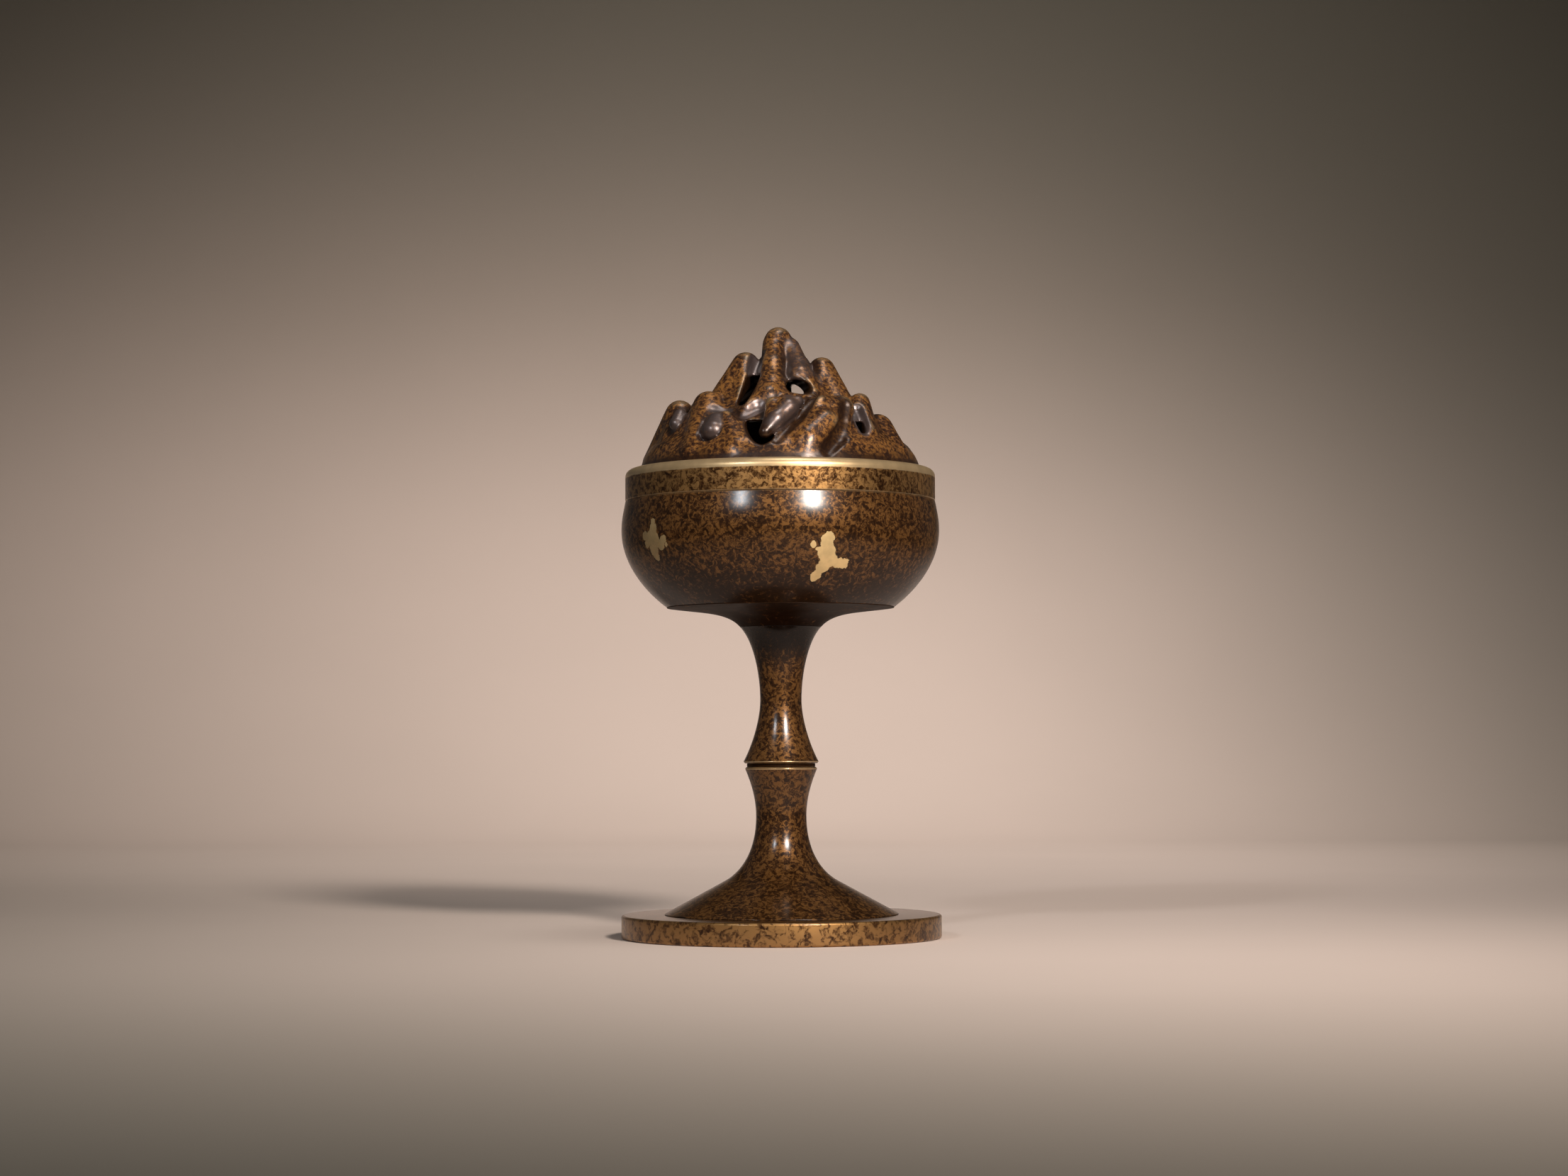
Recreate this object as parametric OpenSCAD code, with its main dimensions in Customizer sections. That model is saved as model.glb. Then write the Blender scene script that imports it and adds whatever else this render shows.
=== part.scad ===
// Hill censer: a footed bronze bowl on a jointed stem, under a pierced lid cast as a mountain.
// +Z is up, the table is z = 0, the stem axis is the Z axis and the front faces -Y. Millimetres.

/* [Base] */
// Diameter of the base disc
base_d = 100; // [92:1:110]
// Height of the base disc at its edge
base_h = 7.3; // [6:0.1:9]
// Rounding of the disc's two edges
base_edge = 0.8; // [0.3:0.1:1.5]
// Width of the ring the disc stands on
foot_ring_w = 6; // [4:0.5:10]
// Depth of the recess inside the standing ring
foot_recess = 1.2; // [0.6:0.1:1.6]
// Wall around and above the well for the nut
well_wall = 4; // [3:0.1:5]

/* [Lower stem] */
// Height of the lower stem on the disc
lower_stem_h = 46; // [42:0.5:50]
// Diameter of the trumpet where it meets the disc
trumpet_d = 74; // [66:1:80]
// Radius where the cone of the trumpet turns into the stem
turn_r = 17.8; // [16:0.1:20]
// Height of that turn above the disc
turn_h = 10.4; // [9:0.1:12]
// Radius of the waist of the lower stem
lower_waist_r = 7.9; // [7:0.1:9]
// Height of the waist above the disc
lower_waist_h = 30.7; // [28:0.1:33]
// Radius of the lower lip of the node
lower_lip_r = 11.3; // [10.5:0.1:12.5]
// Wall of the hollow trumpet, measured along the disc
trumpet_wall = 7; // [5:0.1:9]
// Height of the hollow inside the trumpet
trumpet_hollow_h = 16.7; // [14:0.1:18]

/* [Node] */
// Height of the spacer in the groove of the node
spacer_h = 1.1; // [0.8:0.1:1.6]
// Depth of the groove behind the lower lip
groove_depth = 0.6; // [0.3:0.1:1.2]
// Radius of the spigot that centres the node
node_spigot_r = 6; // [5.4:0.1:6.6]
// Height of the spigot below the spacer
node_spigot_h = 3; // [2:0.5:5]
// Chamfer on the edge of each lip
lip_edge = 0.5; // [0.3:0.1:0.8]

/* [Upper stem] */
// Height of the upper stem, from the spacer to the neck joint
upper_stem_h = 42.8; // [39:0.2:47]
// Radius of the upper lip of the node
upper_lip_r = 11.8; // [11:0.1:13]
// Radius of the waist of the upper stem
upper_waist_r = 6.5; // [6.1:0.1:7.4]
// Height of the waist above the spacer
upper_waist_h = 19.8; // [18:0.1:22]
// Radius of the stem at the neck joint
neck_r = 12.8; // [11.8:0.1:14]
// Radius of the spigot at the neck joint
neck_spigot_r = 8.5; // [7.6:0.1:9.4]

/* [Bowl] */
// Height of the saddle, from the neck joint to the crease
saddle_h = 6.1; // [4.8:0.1:6.4]
// Radius of the crease between saddle and belly
crease_r = 35.7; // [34:0.1:37]
// Thickness of the saddle at the crease
saddle_edge = 0.9; // [0.7:0.1:1.3]
// Radius of the spigot that centres the bowl on the saddle
saddle_spigot_r = 20; // [17:0.5:24]
// Height of the locating spigots of saddle and neck
register_h = 1.4; // [1:0.1:1.8]
// Height of the belly, from the crease to the seam
belly_h = 33.2; // [31:0.1:37]
// Greatest radius of the belly
belly_r = 49.9; // [48.6:0.1:52]
// Height of the greatest radius above the crease
belly_up = 24.1; // [22:0.1:27]
// Wall of the bowl
bowl_wall = 3.2; // [2.6:0.1:3.6]
// Thickness of the bowl floor
floor_t = 3.4; // [3:0.1:4]

/* [Rim] */
// Height of the rim band, from the seam to the rim
band_h = 10; // [9:0.1:11]
// Outer radius of the rim band
rim_r = 48.7; // [46:0.1:51]
// Rounding of the polished lip
lip_round = 2.4; // [1.6:0.1:2.8]
// Width of the rim around the mouth
lip_w = 4.2; // [3.8:0.1:4.8]
// Depth of the ledge below the rim
ledge_drop = 5; // [4.4:0.1:5.6]
// Width of the ledge that carries the lid
ledge_w = 2.5; // [2.1:0.1:2.9]
// Height of the neck of the bowl inside the band
neck_h = 2.4; // [1.8:0.1:3]
// Step from the band's outside to the neck
neck_step = 2.2; // [1.8:0.1:2.6]
// Wall of the neck
neck_wall = 2.6; // [2.2:0.1:3]
// Chamfer along the seam and around the mouth
seam_edge = 0.2; // [0.1:0.05:0.4]

/* [Lid] */
// Height of the summit above the rim
lid_h = 45.2; // [40:0.1:48]
// Gap between the lid skirt and the mouth
lid_gap = 0.3; // [0.25:0.05:0.5]
// Wall of the lid skirt
skirt_wall = 2.5; // [2.2:0.1:2.8]
// Gap between the seat ring and the ledge bore
seat_gap = 0.4; // [0.3:0.05:0.6]
// Height of the seat ring inside the skirt
seat_grip = 3.5; // [2.5:0.1:4.5]
// Height of the seat ring below the ledge
seat_drop = 4.5; // [3:0.1:6]
// Wall of the seat ring
seat_wall = 2; // [1.6:0.1:2.4]
// Scale of the smoke openings
hole_scale = 1; // [0.85:0.05:1.15]

/* [Liner] */
// Outer radius of the ash liner's mouth
liner_r = 35; // [32:0.5:37]
// Outer radius of the liner's flat bottom
liner_foot_r = 27; // [24:0.5:29]
// Height of the liner
liner_h = 20; // [16:0.5:22]
// Wall of the liner
liner_wall = 1.2; // [1:0.1:1.6]
// Radius of the incense dish
dish_r = 14; // [11:0.5:17]
// Radius of the dish's foot
dish_foot_r = 8.4; // [7:0.1:10]
// Radius of the dish's stem
dish_stem_r = 4.8; // [3.6:0.1:6]
// Height of the incense dish
dish_h = 9; // [7:0.5:11]
// Thickness of the dish at its middle
dish_t = 1.6; // [1.2:0.1:2.2]

/* [Tie rod] */
// Diameter of the tie rod
rod_d = 6; // [5.4:0.1:6.6]
// Radial clearance of the rod in its passages
rod_clear = 0.3; // [0.2:0.05:0.5]
// Radial clearance of screwed and turned fits
fit_clear = 0.05; // [0.03:0.01:0.08]
// Clearance at the ends of spigots and of the rod
end_clear = 0.2; // [0.1:0.05:0.4]
// Diameter of the base washer
washer_d = 18; // [16:0.5:20]
// Diameter of the lock washer
lock_d = 12; // [11:0.1:13]
// Gap in the lock washer
lock_gap = 0.8; // [0.4:0.1:1.2]
// Thickness of each washer
washer_t = 1.6; // [1.2:0.1:1.8]
// Width of the nut across its flats
nut_af = 10; // [9.4:0.1:10.8]
// Height of the nut
nut_h = 5; // [4.4:0.1:5.5]
// Distance of the nut from the recess under the base
nut_lift = 0.7; // [0.4:0.1:1.2]

/* [Hidden] */
$fn = 96;

// Heights of the joints, stacked from the table up.
node_z = base_h + lower_stem_h;
upper_foot_z = node_z + spacer_h;
neck_z = upper_foot_z + upper_stem_h;
crease_z = neck_z + saddle_h;
seam_z = crease_z + belly_h;
rim_z = seam_z + band_h;
ledge_z = rim_z - ledge_drop;
seat_top_z = ledge_z + seat_grip;
lower_waist_z = base_h + lower_waist_h;
upper_waist_z = upper_foot_z + upper_waist_h;
belly_z = crease_z + belly_up;
bowl_floor_z = crease_z + floor_t;
neck_top_z = seam_z + neck_h;

// Well under the base with the nut, the washers and the rod.
nut_z = foot_recess + nut_lift;
lock_z = nut_z + nut_h;
washer_z = lock_z + washer_t;
well_top_z = washer_z + washer_t;
well_r = washer_d / 2 + 1;
boss_r = well_r + well_wall;
boss_z = well_top_z + well_wall;
rod_r = rod_d / 2;
passage_r = rod_r + rod_clear;
thread_r = rod_r + fit_clear;

// Radii that follow from the outside of the pieces.
base_r = base_d / 2;
trumpet_r = trumpet_d / 2;
neck_outer_r = rim_r - neck_step;
neck_inner_r = neck_outer_r - neck_wall;
mouth_r = rim_r - lip_w;
ledge_bore_r = mouth_r - ledge_w;
skirt_r = mouth_r - lid_gap;
cavity_r = skirt_r - skirt_wall;
seat_r = ledge_bore_r - seat_gap;

// Points of a cubic curve from a to d with handle points b and c, both ends included.
function curve(a, b, c, d, n) = [for (i = [0 : n])
  let (t = i / n, s = 1 - t) s*s*s*a + 3*s*s*t*b + 3*s*t*t*c + t*t*t*d];

// The same list without its first point.
function tail(list) = [for (i = [1 : len(list) - 1]) list[i]];

// The same list from its last point to its first.
function backwards(list) = [for (i = [len(list) - 1 : -1 : 0]) list[i]];

// A round about (r, z) from one angle to another.
function round_edge(r, z, rad, from, to, n) = [for (i = [0 : n])
  let (a = from + (to - from) * i / n) [r + rad * cos(a), z + rad * sin(a)]];

// Outer line of the lower stem, from the disc up to the lower lip of the node.
trumpet_turn = [turn_r, base_h + turn_h];
lower_line = concat(
  [[trumpet_r, base_h]],
  curve(trumpet_turn, trumpet_turn + 0.27 * (trumpet_turn - [trumpet_r, base_h]),
    [lower_waist_r, lower_waist_z - 0.36 * lower_waist_h], [lower_waist_r, lower_waist_z], 12),
  tail(curve([lower_waist_r, lower_waist_z], [lower_waist_r, lower_waist_z + 0.4 * (node_z - lower_waist_z)],
    [0.45 * lower_waist_r + 0.55 * lower_lip_r, node_z - 0.28 * (node_z - lower_waist_z)],
    [lower_lip_r, node_z - lip_edge], 8)));

// Outer line of the upper stem, from the upper lip of the node to the neck joint.
upper_line = concat(
  curve([upper_lip_r, upper_foot_z + lip_edge],
    [0.42 * upper_lip_r + 0.58 * upper_waist_r, upper_foot_z + 0.32 * upper_waist_h],
    [upper_waist_r, upper_waist_z - 0.28 * upper_waist_h], [upper_waist_r, upper_waist_z], 10),
  tail(curve([upper_waist_r, upper_waist_z], [upper_waist_r, upper_waist_z + 0.37 * (neck_z - upper_waist_z)],
    [0.65 * upper_waist_r + 0.35 * neck_r, neck_z - 0.18 * (neck_z - upper_waist_z)], [neck_r, neck_z], 10)));

// Underside of the saddle, from the neck joint out to the crease.
saddle_line = curve([neck_r, neck_z], [neck_r + 0.17 * (crease_r - neck_r), neck_z + 0.72 * saddle_h],
  [neck_r + 0.48 * (crease_r - neck_r), neck_z + 0.72 * saddle_h], [crease_r, crease_z - saddle_edge], 12);

// Outer line of the belly, from the crease up to the seam.
belly_line = concat(
  curve([crease_r, crease_z], [crease_r + 0.46 * (belly_r - crease_r), crease_z + 0.2 * belly_up],
    [belly_r, belly_z - 0.44 * belly_up], [belly_r, belly_z], 12),
  tail(curve([belly_r, belly_z], [belly_r, belly_z + 0.4 * (seam_z - belly_z)],
    [rim_r + 0.3 * (belly_r - rim_r), seam_z - 0.26 * (seam_z - belly_z)], [rim_r, seam_z - seam_edge], 5)));

// Inside of the bowl, from its flat floor up to the neck under the rim.
bowl_inner_r = belly_r - bowl_wall;
floor_r = crease_r - bowl_wall;
bowl_inner_line = concat(
  curve([floor_r, bowl_floor_z], [floor_r + 0.5 * (bowl_inner_r - floor_r), bowl_floor_z],
    [bowl_inner_r, belly_z - 0.42 * (belly_z - bowl_floor_z)], [bowl_inner_r, belly_z], 10),
  tail(curve([bowl_inner_r, belly_z], [bowl_inner_r, belly_z + 0.44 * (seam_z - belly_z)],
    [neck_inner_r, seam_z - 0.33 * (seam_z - belly_z)], [neck_inner_r, seam_z], 5)));

// Base disc with its standing ring, central boss and the well for washers and nut.
module base_disc() {
  color([0.45, 0.29, 0.11])
    rotate_extrude()
      polygon(concat(
        [[passage_r, well_top_z], [well_r, well_top_z], [well_r, foot_recess],
          [base_r - foot_ring_w, foot_recess], [base_r - foot_ring_w, 0]],
        round_edge(base_r - base_edge, base_edge, base_edge, -90, 0, 4),
        round_edge(base_r - base_edge, base_h - base_edge, base_edge, 0, 90, 4),
        [[boss_r, base_h], [boss_r, boss_z], [passage_r, boss_z]]));
}

// A flat ring from z up, with an inner and an outer radius.
module ring(z, h, inner, outer) {
  translate([0, 0, z])
    difference() {
      cylinder(h = h, r = outer);
      translate([0, 0, -h])
        cylinder(h = 3 * h, r = inner);
    }
}

// Flat washer against the roof of the well.
module base_washer() {
  color([0.62, 0.63, 0.65])
    ring(washer_z, washer_t, passage_r, washer_d / 2);
}

// Split spring washer, closed flat by the nut.
module lock_washer() {
  color([0.5, 0.51, 0.53])
    difference() {
      ring(lock_z, washer_t, passage_r, lock_d / 2);
      translate([0, -lock_gap / 2, lock_z - washer_t])
        cube([lock_d, lock_gap, 3 * washer_t]);
    }
}

// Hexagon nut that pulls the whole stem together.
module base_nut() {
  color([0.66, 0.66, 0.68])
    translate([0, 0, nut_z])
      difference() {
        cylinder(h = nut_h, r = nut_af / 2 / cos(30), $fn = 6);
        translate([0, 0, -nut_h])
          cylinder(h = 3 * nut_h, r = thread_r);
      }
}

// Rod from the nut in the base up into the blind thread of the saddle.
module tie_rod() {
  color([0.6, 0.61, 0.63])
    translate([0, 0, nut_z])
      cylinder(h = crease_z - end_clear - nut_z, r = rod_r);
}

// Trumpet-shaped lower stem: hollow foot, bore for the rod and a socket at the node.
module lower_stem() {
  hollow_z = base_h + trumpet_hollow_h;
  hollow_r = trumpet_r - trumpet_wall;
  socket_z = node_z - node_spigot_h - end_clear;
  color([0.36, 0.22, 0.09])
    rotate_extrude()
      polygon(concat(
        [[passage_r, hollow_z]],
        curve([passage_r + 0.3 * trumpet_hollow_h / 4, hollow_z - trumpet_hollow_h / 12],
          [0.5 * passage_r + 0.5 * boss_r, hollow_z - trumpet_hollow_h / 5],
          [boss_r + 0.2 * (hollow_r - boss_r), boss_z + 0.1 * trumpet_hollow_h], [hollow_r, base_h], 6),
        lower_line,
        [[lower_lip_r - lip_edge, node_z], [node_spigot_r + fit_clear, node_z],
          [node_spigot_r + fit_clear, socket_z], [passage_r, socket_z]]));
}

// Turned ring that forms the floor of the groove between the two lips.
module node_spacer() {
  color([0.3, 0.18, 0.07])
    ring(node_z, spacer_h, node_spigot_r + fit_clear, lower_lip_r - groove_depth);
}

// Upper stem with its spigots into the node and into the saddle.
module upper_stem() {
  color([0.34, 0.2, 0.08])
    rotate_extrude()
      polygon(concat(
        [[passage_r, node_z - node_spigot_h], [node_spigot_r, node_z - node_spigot_h],
          [node_spigot_r, upper_foot_z], [upper_lip_r - lip_edge, upper_foot_z]],
        upper_line,
        [[neck_spigot_r, neck_z], [neck_spigot_r, neck_z + register_h],
          [passage_r, neck_z + register_h]]));
}

// Flared plate under the bowl, with the blind thread for the rod.
module bowl_saddle() {
  socket_z = neck_z + register_h + end_clear;
  color([0.2, 0.13, 0.08])
    rotate_extrude()
      polygon(concat(
        [[0, crease_z], [thread_r, crease_z], [thread_r, socket_z],
          [neck_spigot_r + fit_clear, socket_z], [neck_spigot_r + fit_clear, neck_z]],
        saddle_line,
        [[crease_r, crease_z], [saddle_spigot_r, crease_z], [saddle_spigot_r, crease_z + register_h],
          [0, crease_z + register_h]]));
}

// Belly of the bowl, closed below, with a neck on top that enters the rim band.
module bowl_shell() {
  socket_z = crease_z + register_h + end_clear;
  color([0.36, 0.21, 0.08])
    rotate_extrude()
      polygon(concat(
        [[0, socket_z], [saddle_spigot_r + fit_clear, socket_z], [saddle_spigot_r + fit_clear, crease_z]],
        belly_line,
        [[rim_r - seam_edge, seam_z], [neck_outer_r, seam_z], [neck_outer_r, neck_top_z],
          [neck_inner_r, neck_top_z]],
        backwards(bowl_inner_line),
        [[0, bowl_floor_z]]));
}

// Rim band with its rounded, polished lip and the ledge that carries the lid.
module rim_band() {
  socket_z = neck_top_z + end_clear;
  color([0.62, 0.43, 0.18])
    rotate_extrude()
      polygon(concat(
        [[ledge_bore_r, socket_z], [neck_outer_r + fit_clear, socket_z], [neck_outer_r + fit_clear, seam_z],
          [rim_r - seam_edge, seam_z], [rim_r, seam_z + seam_edge]],
        round_edge(rim_r - lip_round, rim_z - lip_round, lip_round, 0, 90, 6),
        [[mouth_r + seam_edge, rim_z], [mouth_r, rim_z - seam_edge], [mouth_r, ledge_z],
          [ledge_bore_r, ledge_z]]));
}

// Spigot ring under the lid that drops through the ledge and keeps the lid central.
module lid_seat_ring() {
  color([0.4, 0.26, 0.1])
    ring(ledge_z - seat_drop, seat_drop + seat_grip, seat_r - seat_wall, seat_r);
}

// Cup for the ash, standing loose on the bowl floor.
module ash_liner() {
  inner_r = liner_r - liner_wall;
  inner_foot_r = liner_foot_r - liner_wall / 2;
  color([0.6, 0.36, 0.22])
    translate([0, 0, bowl_floor_z])
      rotate_extrude()
        polygon(concat(
          [[0, 0]],
          curve([liner_foot_r, 0], [liner_foot_r + 0.6 * (liner_r - liner_foot_r), 0],
            [liner_r, 0.35 * liner_h], [liner_r, liner_h], 8),
          curve([inner_r, liner_h], [inner_r, 0.4 * liner_h],
            [inner_foot_r + 0.6 * (inner_r - inner_foot_r), liner_wall], [inner_foot_r, liner_wall], 8),
          [[0, liner_wall]]));
}

// Small turned dish on a foot, for a cone or a coil of incense.
module incense_dish() {
  color([0.7, 0.5, 0.22])
    translate([0, 0, bowl_floor_z + liner_wall])
      rotate_extrude()
        polygon(concat(
          [[0, 0], [dish_foot_r, 0], [dish_foot_r, dish_t / 2]],
          curve([dish_stem_r, 0.4 * dish_h], [dish_stem_r, 0.6 * dish_h],
            [0.5 * dish_stem_r + 0.5 * dish_r, 0.62 * dish_h], [dish_r, dish_h], 6),
          curve([dish_r - dish_t / 2, dish_h], [0.8 * dish_r, dish_h - 0.25 * dish_t],
            [0.4 * dish_r, 0.6 * dish_h + 1.1 * dish_t], [0, 0.6 * dish_h + dish_t], 6)));
}

// The mountain is drawn for a skirt of this radius and this height above the rim, and stretched to the lid.
form_r = 44.2;
form_h = 45.2;
// Step by which the foot of the mountain stands back from the skirt.
foot_step = 0.1;

// Mountains around the lid: azimuth of the foot from the front, half angle, radius and height of the foot,
// then azimuth, radius, height and half width of the tip. Heights count from the rim.
mountains = [
  [-93, 25, 38.4, 2.6, -83, 31.6, 21.6, 4.2],
  [-41, 23, 38.6, 2.6, -58, 26, 23.3, 4.4],
  [-20, 12, 38.6, 2.6, -31, 32, 15.8, 2.6],
  [11, 15, 38.8, 2.6, 30, 30.6, 20.9, 7.6],
  [66, 27, 38.4, 2.6, 73, 31.8, 16.5, 4.4],
  [119, 26, 38.4, 2.6, 126, 29.5, 21, 4.6],
  [171, 26, 38.4, 2.6, 163, 31, 17.9, 4.4],
  [-139, 25, 38.4, 2.6, -131, 29, 22.1, 4.4],
  [48, 11, 34, 8.5, 62, 28, 22.6, 2.7],
  [-62, 26, 21, 18.5, -72, 11.2, 36.8, 4],
  [56, 24, 23, 17, 71, 14, 35, 3.6],
  [128, 18, 27, 16.5, 132, 21, 28.5, 3.6],
  [-156, 18, 27, 16.5, -160, 20, 29.9, 3.8],
  [-108, 16, 29, 13.5, -104, 24, 25.1, 3.2],
  [180, 36, 20, 20.5, 176, 9.6, 36.5, 4]];

// Radii of the rounded corners at the sides and the middle of a foot, and the thickness of a tip.
foot_side_ball = 4;
foot_mid_ball = 4.6;
waist_ball = 4.2;
tip_t = 3.4;

// Valley floor of the mountain and the hollow under it, as half profiles from the skirt to the crown.
valley_line = [[44, 0.9], [42.8, 3.5], [39.8, 6.9], [35.6, 10.5], [31.2, 14.1], [26.6, 17.5], [21.8, 21.5],
  [17, 25.5], [12.2, 29.5], [8, 33.5], [4, 37.5], [0, 38.5]];
hollow_line = [[39.2, 0], [37.4, 3.5], [32.6, 9.5], [26.2, 14.5], [17.6, 21], [8, 26.5], [0, 28.5]];

// The summit: the radius and place of its top ball, then place and radii of the broad body under it.
summit_ball = 4.2;
summit_x = -0.5;
shoulder = [1.6, 0.6, 31.5];
shoulder_radii = [9, 8, 5];

// Ridges as chains of beads, each bead x, y, z and radius: the front ridge and its left arm, the right
// panel of the summit and its foot, the bar behind the claw and the boulder right of the front opening.
ridges = [
  [[-1.8, -1.6, 39.2, 3.6], [-2.1, -8.4, 31.6, 4.1], [-2.4, -14.4, 24.6, 4.6], [-3.4, -19, 20.4, 5]],
  [[-3.4, -18.6, 20.4, 4.4], [-9.6, -23.8, 17, 2.4]],
  [[3.2, -1, 38.4, 3.2], [5.7, -7.6, 31.6, 3.7], [6.2, -12.4, 28, 4]],
  [[6.8, -12, 27, 4], [10.2, -18.4, 21.6, 2.4]],
  [[-1, -20, 19.4, 3], [9, -23, 18.6, 3.2]],
  [[15.5, -27.5, 13.5, 5.2], [9, -35.5, 5, 5.2]]];

// The claw that hangs over the front opening: two root beads, its tip, and the root and tip of its back.
claw = [[-1.9, -28, 18.4, 2], [6.6, -27.2, 18, 2.6], [-4.3, -41.4, 8.2, 1.5],
  [2.2, -26.6, 17.2, 4.2], [-3.6, -40, 8.8, 1.9]];

// Nubs that stand in a moat in the left face and beside the leftmost tip.
nubs = [
  [[-20.6, -28.6, 12.8, 2.8], [-21.4, -31.8, 9.6, 3.4]],
  [[-30.2, -11.2, 16.6, 1.6], [-32.6, -15, 10.8, 2.2]]];
// Width of the moat, and how much further out than its nub it lies, so that the nub keeps its root.
moat_w = 0.7;
moat_out = 1.4;

// Scoops in the front: left of the summit, above the front opening, left of it and in the right face.
scoops = [
  [[-7.5, -9.6, 36.5, 1.6], [-8.6, -15.6, 29.4, 2]],
  [[-8.2, -31.4, 20.4, 4], [-8.4, -34.8, 14.6, 4.2]],
  [[-15.4, -27, 20.4, 2.4], [-20.2, -25.4, 18.4, 2.4]],
  [[23.7, -21, 17.6, 2], [26.4, -28.8, 10.8, 2.4]]];

// Grooves in the faces: down the summit, between claw and boulder, right of the front face, three behind.
grooves = [
  [[1.9, -6.4, 40.5, 0.9], [2.2, -12, 33.5, 1.1], [2, -17.4, 27.5, 1.1]],
  [[10.7, -28.5, 20.6, 1.6], [5, -36, 13.6, 1.8], [-1, -42, 6, 1.5]],
  [[23.4, -27, 17.9, 1.2], [21.4, -36.6, 10.5, 1.6], [16.6, -42, 5.1, 1.2]],
  [[20, 36, 15.5, 1.4], [19, 39.8, 6.5, 1.2]],
  [[-33, 25, 14.5, 1.4], [-34, 27.4, 6.5, 1.2]],
  [[34, 20.6, 15.5, 1.4], [35.4, 23.8, 6.5, 1.2]]];

// Cornered smoke openings: azimuth and the corners of the outline, each a sideways place and a height.
flues = [
  [-10, [[-5.1, 12.3], [6.6, 12.3], [4.6, 5.6], [1.9, 4], [-0.9, 5.1], [-3.8, 8.6]]],
  [-8, [[-8.1, 28.8], [-4, 28.8], [-7.3, 18.2], [-10.2, 18.2]]],
  [20, [[13.2, 12.6], [16.4, 12.9], [15.8, 8.9], [14.2, 8.8]]],
  [180, [[-9.8, 28.7], [-3.6, 28.7], [-3.8, 24.6], [-9.6, 24.6]]]];
// Distance from the axis at which a cornered opening starts.
flue_start = 4;

// Oval smoke openings: azimuth, height, half width, half height and tilt of the long way.
smoke_holes = [
  [17.5, 24.1, 3.3, 2.5, 0],
  [93, 12.5, 2.6, 4.4, 10],
  [147, 11.5, 2.8, 4.6, -12],
  [-164, 6.8, 2.8, 3.4, 10],
  [-116, 11.9, 2.6, 4.4, -10],
  [104, 24.9, 2.2, 4, -14],
  [-124, 25.5, 2.2, 4, 12]];

// A mountain: its broad foot and its tip drawn together into one rounded face.
module mountain(m) {
  tip_h = 0.9 * m[7];
  hull() {
    for (side = [-1, 1])
      rotate([0, 0, m[0] + side * m[1]])
        translate([0, foot_mid_ball - foot_side_ball - m[2], m[3]])
          sphere(r = foot_side_ball, $fn = 14);
    rotate([0, 0, m[0]])
      translate([0, -m[2], m[3]])
        sphere(r = foot_mid_ball, $fn = 14);
    rotate([0, 0, (m[0] + m[4]) / 2])
      translate([0, -0.58 * m[2] - 0.42 * m[5], m[3] + 0.58 * (m[6] - m[3])])
        scale([1.5, 1, 1])
          sphere(r = waist_ball, $fn = 14);
    rotate([0, 0, m[4]])
      translate([0, -m[5], m[6] - tip_h])
        scale([m[7], tip_t, tip_h])
          sphere(r = 1, $fn = 16);
  }
}

// The bead of the moat around the bead of a nub.
function moat_bead(b) = let (out = 1 + moat_out / norm([b[0], b[1]]))
  [out * b[0], out * b[1], b[2], b[3] + moat_w];

// One bead: x, y, z and radius.
module bead(b) {
  translate([b[0], b[1], b[2]])
    sphere(r = b[3], $fn = 14);
}

// A chain of beads hulled pair by pair.
module ridge(beads) {
  for (i = [0 : len(beads) - 2])
    hull() {
      bead(beads[i]);
      bead(beads[i + 1]);
    }
}

// An oval smoke opening, run outward from the axis past the skirt.
module smoke_hole(s) {
  rotate([0, 0, s[0]])
    translate([0, 0, s[1]])
      rotate([90, 0, 0])
        rotate([0, 0, s[4]])
          scale([s[2] * hole_scale, s[3] * hole_scale, 1])
            cylinder(h = 1.3 * form_r, r = 1, $fn = 18);
}

// A cornered smoke opening, scaled about the middle of its outline and run outward past the skirt.
module flue(f) {
  middle = [for (corner = f[1]) 1] * f[1] / len(f[1]);
  rotate([0, 0, f[0]])
    rotate([90, 0, 0])
      translate([middle[0], middle[1], flue_start])
        linear_extrude(height = 1.3 * form_r)
          scale(hole_scale)
            translate(-middle)
              polygon(f[1]);
}

// The solid mountain above the rim, with its grooves, scoops and nubs.
module mountain_mass() {
  difference() {
    union() {
      rotate_extrude($fn = 72)
        polygon(concat([[0, 0], [form_r - foot_step, 0]], valley_line));
      for (m = mountains)
        mountain(m);
      hull() {
        translate([summit_x, 0, form_h - summit_ball])
          sphere(r = summit_ball, $fn = 18);
        translate(shoulder)
          scale(shoulder_radii)
            sphere(r = 1, $fn = 18);
      }
      for (r = ridges)
        ridge(r);
    }
    for (g = concat(grooves, scoops))
      ridge(g);
    for (n = nubs)
      ridge([for (b = n) moat_bead(b)]);
  }
  for (n = nubs)
    ridge(n);
}

// The mountain with its smoke openings, and the claw in front of the largest of them.
module pierced_mountain() {
  difference() {
    intersection() {
      mountain_mass();
      cylinder(h = 2 * form_h, r = 2 * form_r, $fn = 36);
    }
    for (s = smoke_holes)
      smoke_hole(s);
    for (f = flues)
      flue(f);
  }
  hull()
    for (c = claw)
      bead(c);
}

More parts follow.
